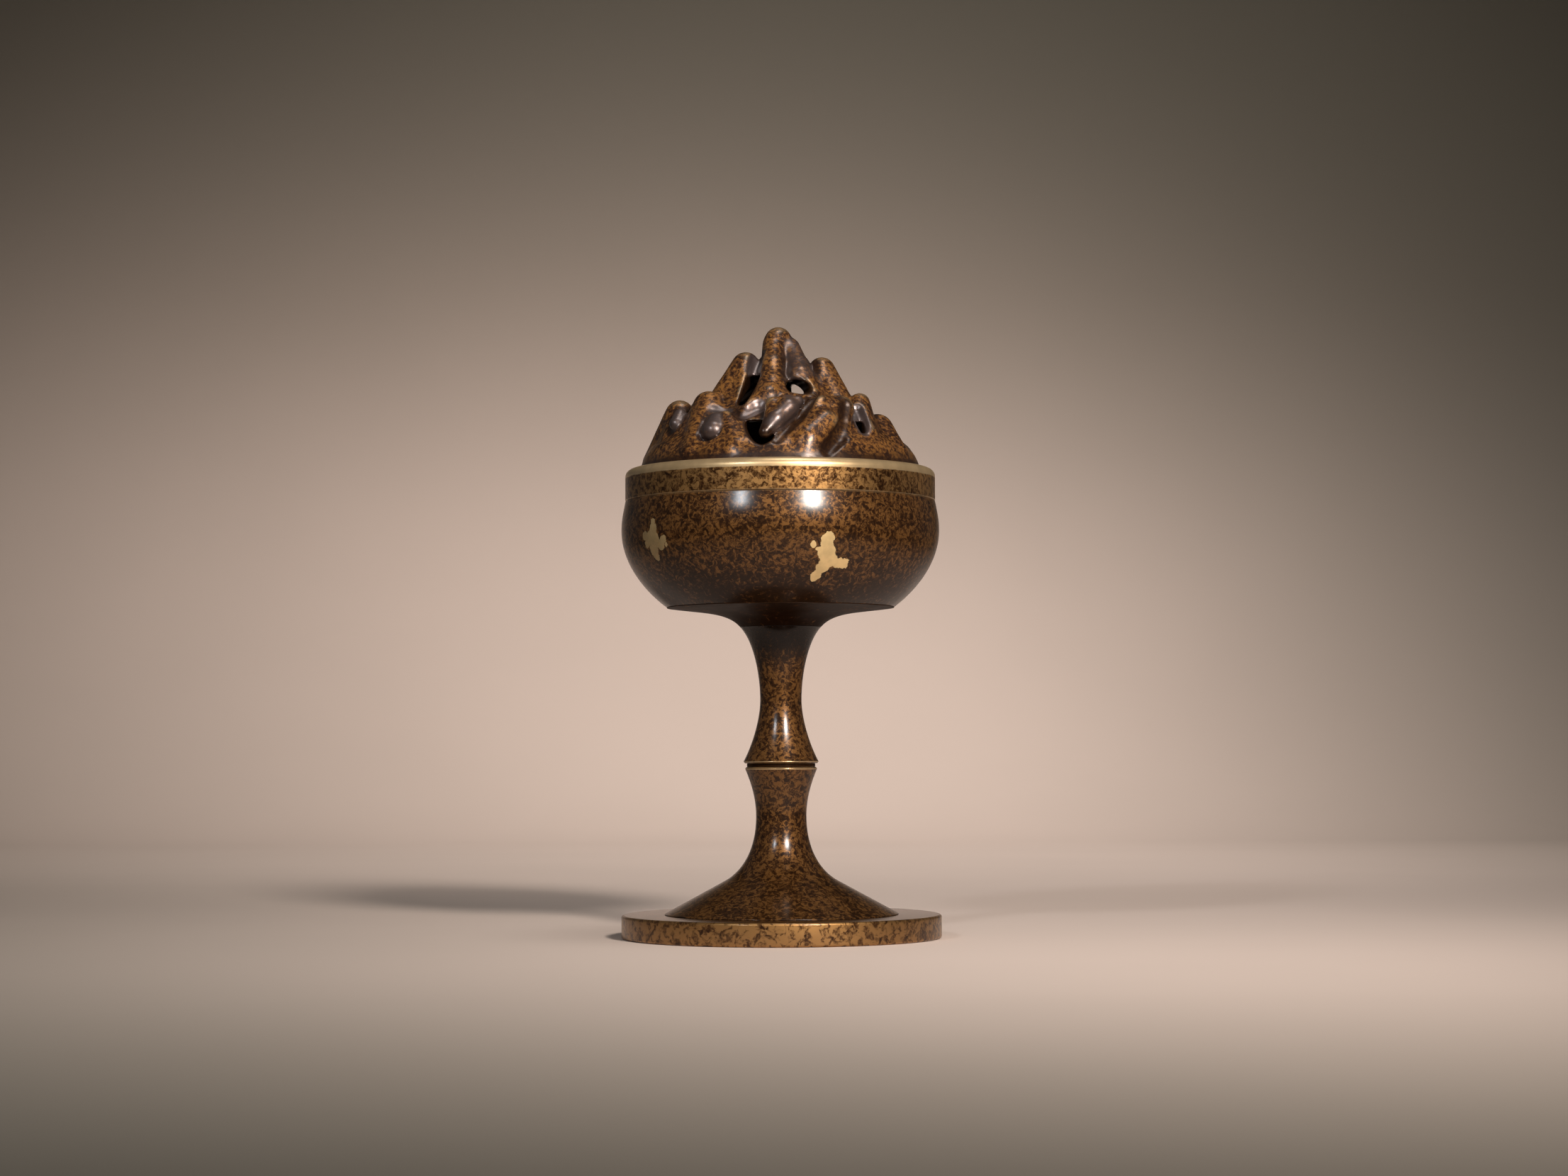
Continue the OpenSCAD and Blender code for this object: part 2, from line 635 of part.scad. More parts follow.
// Pierced lid: the mountain on its skirt, hollow inside, with the seat for the ring.
module lid_mountain() {
  form = [skirt_r / form_r, skirt_r / form_r, lid_h / form_h];
  color([0.42, 0.26, 0.1])
    difference() {
      union() {
        translate([0, 0, ledge_z])
          cylinder(h = ledge_drop + seam_edge, r = skirt_r, $fn = 72);
        translate([0, 0, rim_z])
          scale(form)
            pierced_mountain();
      }
      translate([0, 0, ledge_z - seat_grip])
        cylinder(h = 2 * seat_grip, r = cavity_r, $fn = 72);
      translate([0, 0, rim_z])
        scale(form)
          rotate_extrude($fn = 72)
            polygon(concat([[0, -seat_grip], [hollow_line[0][0], -seat_grip]], hollow_line));
    }
}

base_disc();
base_washer();
lock_washer();
base_nut();
tie_rod();
lower_stem();
node_spacer();
upper_stem();
bowl_saddle();
bowl_shell();
rim_band();
lid_mountain();
lid_seat_ring();
ash_liner();
incense_dish();
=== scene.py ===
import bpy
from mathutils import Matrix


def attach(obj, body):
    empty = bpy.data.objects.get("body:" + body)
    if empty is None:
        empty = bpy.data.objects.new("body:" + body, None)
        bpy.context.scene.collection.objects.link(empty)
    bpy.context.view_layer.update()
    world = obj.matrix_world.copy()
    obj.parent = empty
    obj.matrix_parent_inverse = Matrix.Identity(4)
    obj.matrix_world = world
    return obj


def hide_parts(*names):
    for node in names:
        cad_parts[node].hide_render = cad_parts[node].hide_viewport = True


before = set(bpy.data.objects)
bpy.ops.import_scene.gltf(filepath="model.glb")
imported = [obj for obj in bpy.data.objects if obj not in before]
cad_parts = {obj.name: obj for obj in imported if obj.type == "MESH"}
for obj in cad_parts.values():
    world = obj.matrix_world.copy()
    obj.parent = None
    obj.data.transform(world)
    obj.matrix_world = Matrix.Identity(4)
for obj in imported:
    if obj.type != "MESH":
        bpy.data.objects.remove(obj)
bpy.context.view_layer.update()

import math

import bmesh
import bpy
import numpy as np
from bpy.props import FloatProperty, FloatVectorProperty, IntProperty, PointerProperty
from bpy.types import Operator, Panel, PropertyGroup
from mathutils import Matrix, Vector

bl_info = {
    "name": "Hill Censer",
    "version": (1, 0, 0),
    "blender": (4, 5, 0),
    "location": "View3D > Sidebar > Censer",
    "description": "Dresses a footed bronze censer with a pierced mountain lid",
    "category": "Object",
}

MM = 0.001

# Heights above the table, in millimetres.
BASE_TOP = 7.3
LOWER_WAIST_Z = 38.0
TENON_Z = 50.3
NODE_Z = 53.3
UPPER_FOOT_Z = 54.4
UPPER_WAIST_Z = 74.2
NECK_Z = 97.2
CREASE_Z = 103.3
FLOOR_Z = 106.7
BELLY_Z = 127.4
SEAM_Z = 136.5
NECK_TOP_Z = 138.9
LEDGE_Z = 141.5
RIM_Z = 146.5

# Radii of the turned pieces, in millimetres.
BASE_R = 50.0
STANDING_RING_R = 44.0
TRUMPET_R = 37.0
LOWER_WAIST_R = 7.9
LOWER_LIP_R = 11.3
UPPER_LIP_R = 11.8
UPPER_WAIST_R = 6.5
NECK_R = 12.8
CREASE_R = 35.7
BELLY_R = 49.9
BOWL_NECK_IN_R = 43.9
BOWL_NECK_OUT_R = 46.5
RIM_R = 48.7
MOUTH_R = 44.5
LEDGE_BORE_R = 42.0
SKIRT_R = 44.2
CAVITY_R = 41.7
PASSAGE_R = 3.3
ROD_R = 3.0

# Tenon of the stem's node, spigots of neck and bowl, and the room around them.
TENON_R = 6.0
NECK_SPIGOT_R = 8.5
BOWL_SPIGOT_R = 20.0
SPIGOT_H = 1.4
END_GAP = 0.2
FIT = 0.05

# Walls and edges.
BOWL_WALL = 3.2
BASE_EDGE = 0.8
LIP_EDGE = 0.5
SEAM_EDGE = 0.2
RIM_ROUND = 2.4
SPACER_INSET = 0.6

# The trumpet: where its straight flare ends, and the hollow under it.
TURN = (17.8, 17.7)
FOOT_HOLLOW_Z = 24.0
FOOT_HOLLOW = ((4.55, 22.6), (8.65, 20.7), (17.2, 15.8), (30.0, BASE_TOP))

# Well under the base for the nut and the washers.
RECESS_Z = 1.2
NUT_Z = 1.9
NUT_H = 5.0
NUT_FLATS = 10.0
WELL_TOP_Z = 10.1
WELL_R = 10.0
BOSS_R = 14.0
BOSS_Z = 14.1

# Seat ring of the lid, ash liner and incense dish.
SEAT_RING_R = (39.6, 41.6)
SEAT_RING_Z = (137.0, 145.0)
LINER_R = 35.0
LINER_H = 20.0
LINER_WALL = 1.2
DISH_FOOT_R = 8.4
DISH_STEM_R = 4.8
DISH_R = 14.0
DISH_H = 9.0


# Half profiles of the turned pieces, as points of radius and height.

def cubic(a, b, c, d, n):
    """Points of a cubic curve from a to d with handles b and c."""
    a, b, c, d = (np.array(p, float) for p in (a, b, c, d))
    points = []
    for t in np.linspace(0, 1, n + 1):
        s = 1 - t
        points.append(s**3 * a + 3 * s * s * t * b + 3 * s * t * t * c + t**3 * d)
    return points


def arc(r, z, radius, start, end, n):
    """Points of a round about (r, z) from one angle to another, in degrees."""
    return [(r + radius * math.cos(a), z + radius * math.sin(a))
            for a in np.radians(np.linspace(start, end, n + 1))]


def base_disc_line():
    edge_r = BASE_R - BASE_EDGE
    return [(PASSAGE_R, WELL_TOP_Z), (WELL_R, WELL_TOP_Z), (WELL_R, RECESS_Z),
            (STANDING_RING_R, RECESS_Z), (STANDING_RING_R, 0),
            *arc(edge_r, BASE_EDGE, BASE_EDGE, -90, 0, 8),
            *arc(edge_r, BASE_TOP - BASE_EDGE, BASE_EDGE, 0, 90, 8),
            (BOSS_R, BASE_TOP), (BOSS_R, BOSS_Z), (PASSAGE_R, BOSS_Z)]


def lower_stem_line():
    foot, turn = np.array((TRUMPET_R, BASE_TOP)), np.array(TURN)
    waist, rise = (LOWER_WAIST_R, LOWER_WAIST_Z), NODE_Z - LOWER_WAIST_Z
    socket_r, socket_z = TENON_R + FIT, TENON_Z - END_GAP
    return [(PASSAGE_R, FOOT_HOLLOW_Z), *cubic(*FOOT_HOLLOW, 16),
            *cubic(foot, foot + (turn - foot) / 3, foot + (turn - foot) / 1.5, turn, 14),
            *cubic(turn, turn + 0.27 * (turn - foot), (LOWER_WAIST_R, LOWER_WAIST_Z - 11.05),
                   waist, 40)[1:],
            *cubic(waist, (LOWER_WAIST_R, LOWER_WAIST_Z + 0.4 * rise),
                   (0.45 * LOWER_WAIST_R + 0.55 * LOWER_LIP_R, NODE_Z - 0.28 * rise),
                   (LOWER_LIP_R, NODE_Z - LIP_EDGE), 26)[1:],
            (LOWER_LIP_R - LIP_EDGE, NODE_Z), (socket_r, NODE_Z), (socket_r, socket_z),
            (PASSAGE_R, socket_z)]


def node_spacer_line():
    inner, outer = TENON_R + FIT, LOWER_LIP_R - SPACER_INSET
    return [(inner, NODE_Z), (outer, NODE_Z), (outer, UPPER_FOOT_Z), (inner, UPPER_FOOT_Z)]


def upper_stem_line():
    waist, rise = (UPPER_WAIST_R, UPPER_WAIST_Z), NECK_Z - UPPER_WAIST_Z
    return [(PASSAGE_R, TENON_Z), (TENON_R, TENON_Z), (TENON_R, UPPER_FOOT_Z),
            (UPPER_LIP_R - LIP_EDGE, UPPER_FOOT_Z),
            *cubic((UPPER_LIP_R, UPPER_FOOT_Z + LIP_EDGE), (8.726, 60.736),
                   (UPPER_WAIST_R, 68.656), waist, 32),
            *cubic(waist, (UPPER_WAIST_R, UPPER_WAIST_Z + 0.37 * rise),
                   (0.65 * UPPER_WAIST_R + 0.35 * NECK_R, NECK_Z - 0.18 * rise),
                   (NECK_R, NECK_Z), 32)[1:],
            (NECK_SPIGOT_R, NECK_Z), (NECK_SPIGOT_R, NECK_Z + SPIGOT_H),
            (PASSAGE_R, NECK_Z + SPIGOT_H)]


def bowl_saddle_line():
    wide = CREASE_R - NECK_R
    shelf = NECK_Z + 0.72 * (CREASE_Z - NECK_Z)
    socket_r, socket_z = NECK_SPIGOT_R + FIT, NECK_Z + SPIGOT_H + END_GAP
    return [(0, CREASE_Z), (ROD_R + FIT, CREASE_Z), (ROD_R + FIT, socket_z),
            (socket_r, socket_z), (socket_r, NECK_Z),
            *cubic((NECK_R, NECK_Z), (NECK_R + 0.17 * wide, shelf),
                   (NECK_R + 0.48 * wide, shelf), (CREASE_R, CREASE_Z - SEAM_EDGE), 48),
            (CREASE_R, CREASE_Z), (BOWL_SPIGOT_R, CREASE_Z),
            (BOWL_SPIGOT_R, CREASE_Z + SPIGOT_H), (0, CREASE_Z + SPIGOT_H)]


def belly_line():
    """Outside of the belly, from its crease to its seam."""
    wide, up, over = BELLY_R - CREASE_R, BELLY_Z - CREASE_Z, SEAM_Z - BELLY_Z
    belly = (BELLY_R, BELLY_Z)
    return [*cubic((CREASE_R, CREASE_Z), (CREASE_R + 0.46 * wide, CREASE_Z + 0.2 * up),
                   (BELLY_R, BELLY_Z - 0.44 * up), belly, 56),
            *cubic(belly, (BELLY_R, BELLY_Z + 0.4 * over),
                   (RIM_R + 0.3 * (BELLY_R - RIM_R), SEAM_Z - 0.26 * over),
                   (RIM_R, SEAM_Z - SEAM_EDGE), 24)[1:]]


def bowl_shell_line():
    deep, over = BELLY_Z - FLOOR_Z, SEAM_Z - BELLY_Z
    inner, foot = BELLY_R - BOWL_WALL, CREASE_R - BOWL_WALL
    socket_r, socket_z = BOWL_SPIGOT_R + FIT, CREASE_Z + SPIGOT_H + END_GAP
    inside = [*cubic((foot, FLOOR_Z), (foot + 0.5 * (inner - foot), FLOOR_Z),
                     (inner, BELLY_Z - 0.42 * deep), (inner, BELLY_Z), 32),
              *cubic((inner, BELLY_Z), (inner, BELLY_Z + 0.44 * over),
                     (BOWL_NECK_IN_R, SEAM_Z - 0.33 * over), (BOWL_NECK_IN_R, SEAM_Z), 14)[1:]]
    return [(0, socket_z), (socket_r, socket_z), (socket_r, CREASE_Z), *belly_line(),
            (RIM_R - SEAM_EDGE, SEAM_Z), (BOWL_NECK_OUT_R, SEAM_Z), (BOWL_NECK_OUT_R, NECK_TOP_Z),
            (BOWL_NECK_IN_R, NECK_TOP_Z), *inside[::-1], (0, FLOOR_Z)]


def rim_band_line():
    socket_r, socket_z = BOWL_NECK_OUT_R + FIT, NECK_TOP_Z + END_GAP
    return [(LEDGE_BORE_R, socket_z), (socket_r, socket_z), (socket_r, SEAM_Z),
            (RIM_R - SEAM_EDGE, SEAM_Z), (RIM_R, SEAM_Z + SEAM_EDGE),
            *arc(RIM_R - RIM_ROUND, RIM_Z - RIM_ROUND, RIM_ROUND, 0, 90, 20),
            (MOUTH_R + SEAM_EDGE, RIM_Z), (MOUTH_R, RIM_Z - SEAM_EDGE), (MOUTH_R, LEDGE_Z),
            (LEDGE_BORE_R, LEDGE_Z)]


def lid_seat_ring_line():
    (inner, outer), (low, high) = SEAT_RING_R, SEAT_RING_Z
    return [(inner, low), (outer, low), (outer, high), (inner, high)]


def ash_liner_line():
    low, floor, top = FLOOR_Z, FLOOR_Z + LINER_WALL, FLOOR_Z + LINER_H
    inner = LINER_R - LINER_WALL
    return [(0, low), *cubic((27, low), (31.8, low), (LINER_R, low + 7), (LINER_R, top), 28),
            *cubic((inner, top), (inner, low + 8), (30.84, floor), (26.4, floor), 28), (0, floor)]


def incense_dish_line():
    z = FLOOR_Z + LINER_WALL
    return [(0, z), (DISH_FOOT_R, z), (DISH_FOOT_R, z + 0.8),
            *cubic((DISH_STEM_R, z + 3.6), (DISH_STEM_R, z + 5.4), (9.4, z + 5.58),
                   (DISH_R, z + DISH_H), 20),
            *cubic((DISH_R - 0.8, z + DISH_H), (11.2, z + 8.6), (5.6, z + 7.16), (0, z + 7), 20)]


# Corners that turn less than this stay as they are. A round has a facet for each step, in degrees,
# and a line of support beside it, in millimetres.
CORNER_TURN = math.radians(16)
ROUND_STEP = 18
SUPPORT = 0.12


def soften(line, radius):
    """Rounds every corner of a half profile. Returns its points and how worn each of them is."""
    points = [np.array(p, float) for p in line]
    on_axis = points[0][0] == 0
    out = []
    for i, p in enumerate(points):
        if on_axis and i in (0, len(points) - 1):
            out.append((p, 0.0))
            continue
        sides = points[i - 1] - p, points[(i + 1) % len(points)] - p
        lengths = [np.linalg.norm(side) for side in sides]
        a, b = (side / length for side, length in zip(sides, lengths))
        turn = math.acos(max(-1.0, min(1.0, -(a @ b))))
        if turn < CORNER_TURN:
            out.append((p, 0.0))
            continue
        reach = min(radius * math.tan(turn / 2), *(0.4 * length for length in lengths))
        true_radius = reach / math.tan(turn / 2)
        middle = (a + b) / np.linalg.norm(a + b)
        centre = p + middle * true_radius / math.cos(turn / 2)
        spokes = [p + way * reach - centre for way in (a, b)]
        worn = 1.0 if a[0] * b[1] - a[1] * b[0] < 0 else 0.0
        before, after = ([(p + way * (reach + SUPPORT), 0.0)]
                         if reach + SUPPORT < 0.5 * length else []
                         for way, length in zip((a, b), lengths))
        out += before
        steps = max(2, round(math.degrees(turn) / ROUND_STEP))
        for t in np.linspace(0, 1, steps + 1):
            spoke = spokes[0] * math.sin((1 - t) * turn) + spokes[1] * math.sin(t * turn)
            out.append((centre + spoke / math.sin(turn), worn))
        out += after
    if not on_axis:
        out.append(out[0])
    return zip(*out)


# Node trees.

class Wire:
    """An output of a node. Sums and products of wires and numbers become Math nodes."""

    def __init__(self, socket):
        self.socket = socket

    def __add__(self, other):
        return calc("ADD", self, other)

    def __sub__(self, other):
        return calc("SUBTRACT", self, other)

    def __rsub__(self, other):
        return calc("SUBTRACT", other, self)

    def __mul__(self, other):
        return calc("MULTIPLY", self, other)

    def __truediv__(self, other):
        return calc("DIVIDE", self, other)

    def __rtruediv__(self, other):
        return calc("DIVIDE", other, self)

    __radd__, __rmul__ = __add__, __mul__


def home(*values):
    """The tree of the first wire among some values."""
    return next(value.socket.id_data for value in values if isinstance(value, Wire))


def feed(node, inputs):
    """Links the wires among some values to a node's inputs, and sets the others there."""
    for key, value in inputs.items():
        if isinstance(value, Wire):
            node.id_data.links.new(value.socket, node.inputs[key])
        else:
            node.inputs[key].default_value = value


def put(tree, kind, inputs=None, **settings):
    """Adds a node, sets it up and feeds it."""
    node = tree.nodes.new(kind)
    for key, value in settings.items():
        setattr(node, key, value)
    feed(node, inputs or {})
    return node


def wire(tree, kind, inputs=None, output=0, **settings):
    """One output of a new node."""
    return Wire(put(tree, kind, inputs, **settings).outputs[output])


def wires(node):
    """All outputs of a node by their names."""
    return {socket.name: Wire(socket) for socket in node.outputs}


def calc(operation, *values):
    """The output of a Math node."""
    inputs = dict(enumerate(values))
    return wire(home(*values), "ShaderNodeMath", inputs, operation=operation)


def aim(operation, *vectors, scale=None):
    """The output of a Vector Math node."""
    inputs = dict(enumerate(vectors))
    if scale is not None:
        inputs["Scale"] = scale
    output = "Value" if operation in ("LENGTH", "DISTANCE") else "Vector"
    return wire(home(*vectors), "ShaderNodeVectorMath", inputs, output, operation=operation)


def split(vector):
    """The three parts of a vector."""
    return wires(put(home(vector), "ShaderNodeSeparateXYZ", {0: vector})).values()


def blend(factor, a, b):
    """The output of a colour Mix node."""
    return wire(home(factor), "ShaderNodeMix", {0: factor, 6: a, 7: b}, 2, data_type="RGBA")


def ease(value, low, high, start=0.0, end=1.0):
    """A smooth step of a value from low to high."""
    inputs = {"Value": value, "From Min": low, "From Max": high, "To Min": start, "To Max": end}
    return wire(home(value), "ShaderNodeMapRange", inputs, interpolation_type="SMOOTHSTEP")


def noise(vector, scale, detail=2.0, rough=0.5, output="Fac"):
    """An output of a Noise Texture node."""
    inputs = {"Vector": vector, "Scale": scale, "Detail": detail, "Roughness": rough}
    return wire(home(vector), "ShaderNodeTexNoise", inputs, output)


def stir(vector, scale, detail, reach, rough=0.5):
    """Coordinates that a soft noise has moved about."""
    sway = aim("SUBTRACT", noise(vector, scale, detail, rough, "Color"), (0.5, 0.5, 0.5))
    return aim("ADD", vector, aim("SCALE", sway, scale=reach))


def new_group(kind, name, inputs, outputs):
    """A node group and the wires of its inputs. A socket is given by its default or its kind."""
    tree = bpy.data.node_groups.new(name, kind)
    for side, rows in (("INPUT", inputs), ("OUTPUT", outputs)):
        for label, value in rows.items():
            plain = isinstance(value, (int, float))
            socket_kind = "NodeSocket" + (type(value).__name__.capitalize() if plain else value)
            socket = tree.interface.new_socket(label, in_out=side, socket_type=socket_kind)
            if plain:
                socket.default_value = value
    return tree, wires(tree.nodes.new("NodeGroupInput"))


def deliver(tree, results):
    """Feeds the outputs of a node group."""
    feed(tree.nodes.new("NodeGroupOutput"), results)
    return tree


# Points of a turned skin closer than this are one, in metres.
WELD = 1e-6


def turned_form_tree():
    """Turns a half profile about the Z axis into one closed skin, with its wear carried along."""
    tree, given = new_group("GeometryNodeTree", "turned_form", {
        "Profile": "Geometry", "Segments": 160, "Weld Distance": WELD, "Finish": "Material"},
        {"Skin": "Geometry"})
    profile, segments = given["Profile"], given["Segments"]
    rows = wire(tree, "GeometryNodeAttributeDomainSize", {"Geometry": profile}, component="MESH")
    grid = wire(tree, "GeometryNodeMeshGrid", {"Vertices X": segments + 1.0, "Vertices Y": rows})
    index = wire(tree, "GeometryNodeInputIndex")
    row, column = calc("MODULO", index, rows), calc("FLOOR", index / rows)

    def carry(value, kind):
        return wire(tree, "GeometryNodeSampleIndex", {
            "Geometry": profile, "Value": value, "Index": row}, data_type=kind, domain="POINT")

    radius, _, height = split(carry(wire(tree, "GeometryNodeInputPosition"), "FLOAT_VECTOR"))
    wear = carry(wire(tree, "GeometryNodeInputNamedAttribute", {"Name": "wear"},
                      data_type="FLOAT"), "FLOAT")
    angle = column * (2 * math.pi) / segments
    spot = wire(tree, "ShaderNodeCombineXYZ", {
        0: radius * calc("COSINE", angle), 1: radius * calc("SINE", angle), 2: height})
    skin = grid
    for kind, inputs, settings in (
            ("SetPosition", {"Position": spot}, {}),
            ("StoreNamedAttribute", {"Name": "wear", "Value": wear},
             {"data_type": "FLOAT", "domain": "POINT"}),
            ("MergeByDistance", {"Distance": given["Weld Distance"]}, {}),
            ("SetShadeSmooth", {}, {}),
            ("RealizeInstances", {}, {}),
            ("SetMaterial", {"Material": given["Finish"]}, {})):
        skin = wire(tree, "GeometryNode" + kind, {"Geometry": skin, **inputs}, **settings)
    return deliver(tree, {"Skin": skin})


def new_piece(name, mesh):
    """An object at the origin that shows a mesh."""
    piece = bpy.data.objects.new(name, mesh)
    bpy.context.scene.collection.objects.link(piece)
    return piece


def face_outwards(mesh):
    """Turns the faces of a closed skin outwards."""
    work = bmesh.new()
    work.from_mesh(mesh)
    bmesh.ops.recalc_face_normals(work, faces=work.faces[:])
    work.to_mesh(mesh)
    work.free()


def settle(mesh, node_name, body):
    """The mesh stands for its CAD node and rides on its body."""
    mesh.name = node_name + "_form"
    piece = new_piece(node_name + "_form", mesh)
    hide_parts(node_name)
    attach(piece, body)


def turn_piece(node_name, line, finish, body, sharpness=1.0):
    """Turns one piece from its half profile and settles it."""
    sizes = bpy.context.scene.censer_sizes
    points, wear = soften(line, sizes.edge_round / MM / sharpness)
    outline = bpy.data.meshes.new("profile")
    outline.from_pydata([(p[0] * MM, 0, p[1] * MM) for p in points],
                        [(i, i + 1) for i in range(len(points) - 1)], [])
    outline.attributes.new("wear", "FLOAT", "POINT").data.foreach_set("value", wear)
    helper = new_piece("profile", outline)
    tree = bpy.data.node_groups.get("turned_form") or turned_form_tree()
    modifier = helper.modifiers.new("turned_form", "NODES")
    modifier.node_group = tree
    values = {"Segments": sizes.segments, "Weld Distance": WELD, "Finish": finish}
    for item in tree.interface.items_tree:
        if item.item_type == "SOCKET" and item.in_out == "INPUT" and item.name in values:
            modifier[item.identifier] = values[item.name]
    graph = bpy.context.evaluated_depsgraph_get()
    mesh = bpy.data.meshes.new_from_object(helper.evaluated_get(graph), depsgraph=graph)
    bpy.data.objects.remove(helper)
    bpy.data.meshes.remove(outline)
    if len(mesh.polygons) < sizes.segments:
        raise RuntimeError(node_name + " was not turned")
    face_outwards(mesh)
    settle(mesh, node_name, body)


# The sculpted lid. Azimuth counts from the front towards +X, and heights count from the rim.
# Mountains: azimuth, half angle, radius and height of the foot, then azimuth, radius, height and
# half width of the tip.
MOUNTAINS = (
    (-93, 25, 38.4, 2.6, -83, 31.6, 21.6, 4.2), (-41, 23, 38.6, 2.6, -58, 26, 23.3, 4.4),
    (-20, 12, 38.6, 2.6, -31, 32, 15.8, 2.6), (11, 15, 38.8, 2.6, 30, 30.6, 20.9, 7.6),
    (66, 27, 38.4, 2.6, 73, 31.8, 16.5, 4.4), (119, 26, 38.4, 2.6, 126, 29.5, 21, 4.6),
    (171, 26, 38.4, 2.6, 163, 31, 17.9, 4.4), (-139, 25, 38.4, 2.6, -131, 29, 22.1, 4.4),
    (48, 11, 34, 8.5, 62, 28, 22.6, 2.7), (-62, 26, 21, 18.5, -72, 11.2, 36.8, 4),
    (56, 24, 23, 17, 71, 14, 35, 3.6), (128, 18, 27, 16.5, 132, 21, 28.5, 3.6),
    (-156, 18, 27, 16.5, -160, 20, 29.9, 3.8), (-108, 16, 29, 13.5, -104, 24, 25.1, 3.2),
    (180, 36, 20, 20.5, 176, 9.6, 36.5, 4))
# Valley floor and the hollow under it, as half profiles of radius and height, each with the factor
# that makes a distance of a gap measured level.
VALLEY = ((44.1, 0), (43.5, 1.8), (42.6, 3.9), (40.4, 6.9), (35.8, 10.5), (31.2, 14.1),
          (26.6, 17.5), (21.8, 21.5), (17, 25.5), (12.2, 29.5), (8, 33.5), (4, 37.5), (0, 38.5))
VALLEY_SLOPE = 0.72
HOLLOW = ((39.2, 0), (37.4, 3.5), (32.6, 9.5), (26.2, 14.5), (17.6, 21), (8, 26.5), (0, 28.5))
HOLLOW_SLOPE = 0.74
HOLLOW_FOOT = 3.5
# Chains of beads, each x, y, z and radius: the front ridge with its left arm, the right panel and
# the bar.
RIDGES = (
    ((-1.8, -1.6, 39.2, 3.6), (-2.1, -8.4, 31.6, 4.1), (-2.4, -14.4, 24.6, 4.6),
     (-3.4, -19, 20.4, 5)),
    ((-3.4, -18.6, 20.4, 4.4), (-9.6, -23.8, 17, 2.4)),
    ((3.2, -1, 38.4, 3.2), (5.7, -7.6, 31.6, 3.7), (6.2, -12.4, 28, 4)),
    ((6.8, -12, 27, 4), (10.2, -18.4, 21.6, 2.4)),
    ((-1, -20, 19.4, 3), (9, -23, 18.6, 3.2)),
    ((15.5, -27.5, 13.5, 5.2), (9, -35.5, 5, 5.2)),
    ((13.5, -33, 10.8, 5.2), (8.5, -36.8, 5.5, 5.6)))
RIGHT_PANEL = RIDGES[2:3]
# The claw: its two shoulders and its tip, its root in the mountain and the fuller back.
CLAW = ((-2.1, -32.6, 17.2, 2), (5.6, -31.8, 18.2, 1.4), (-4.6, -39.6, 8, 1.4))
CLAW_ROOT = (2, -24.5, 17.5, 3.4)
CLAW_BACK = ((2.6, -34.6, 15.9, 3.2), (-1.2, -37.4, 12, 2.6), (-4.4, -39.6, 8.2, 1.7))
SUMMIT = ((-0.5, 0, 41, 4.2), (1.6, 0.6, 31.5, 8.2))
# Nubs that stand out of a moat, and scoops and grooves in the faces, as chains of beads.
NUBS = (
    ((-19.5, -27.2, 12.3, 3.2), (-20.2, -30.2, 9.3, 3.9)),
    ((-31, -12.1, 16.2, 2), (-32, -14.6, 13.2, 2.3)))
SCOOPS = (
    ((-6.7, -7, 35.1, 2.2), (-7.8, -10.8, 30.4, 2.2)),
    ((-10.2, -29.6, 16.4, 3), (-6.5, -27.2, 18.3, 2.8)),
    ((-20.4, -23.4, 18.5, 2.2), (-16.8, -24.2, 17.7, 2.2)),
    ((23.7, -21, 17.6, 2), (26.4, -28.8, 10.8, 2.4)))
GROOVES = (
    ((1.9, -6.4, 40.5, 0.9), (2.2, -12, 33.5, 1.1), (2.0, -17.4, 27.5, 1.1)),
    ((10.7, -28.5, 20.6, 1.6), (5, -36, 13.6, 1.8), (-1, -42, 6, 1.5)),
    ((21, -29.5, 17.9, 2.2), (20.6, -32.3, 12.7, 2.4), (18.5, -36.6, 7.6, 2.4),
     (15, -41.6, 2.9, 2.2)),
    ((-15.5, -23.6, 18.2, 1.4), (-11.7, -30.5, 13.9, 1.4)),
    ((20, 36, 15.5, 1.4), (19, 39.8, 6.5, 1.2)),
    ((-33, 25, 14.5, 1.4), (-34, 27.4, 6.5, 1.2)),
    ((34, 20.6, 15.5, 1.4), (35.4, 23.8, 6.5, 1.2)))
# Smoke openings: azimuth and the corners of the outline, each a sideways place and a height.
FLUES = (
    (-10, ((-5.1, 12.3), (6.6, 12.3), (4.6, 5.6), (1.9, 4.0), (-0.9, 5.1), (-3.8, 8.6))),
    (-8, ((-8.1, 28.8), (-4.0, 28.8), (-7.3, 18.2), (-10.2, 18.2))),
    (20, ((13.2, 12.6), (16.4, 12.9), (15.8, 8.9), (14.2, 8.8))),
    (180, ((-9.8, 28.7), (-3.6, 28.7), (-3.8, 24.6), (-9.6, 24.6))))
# Round smoke openings: azimuth, height, half width, half height and tilt.
SMOKE_HOLES = (
    (17.5, 24.1, 3.3, 2.5, 0), (93, 12.5, 2.6, 4.4, 10), (147, 11.5, 2.8, 4.6, -12),
    (-164, 6.8, 2.8, 3.4, 10), (-116, 11.9, 2.6, 4.4, -10), (104, 24.9, 2.2, 4, -14),
    (-124, 25.5, 2.2, 4, 12))
# All openings start this far from the axis.
OPENING_START = 4.0
# Balls of a mountain's foot and tip.
FOOT_SIDE_BALL = 4.0
FOOT_MID_BALL = 4.6
TIP_BALL = 4.0
TIP_SWELL = 0.7
# A moat is wider than its nub and stands further out.
MOAT_W = 0.25
MOAT_OUT = 1.4
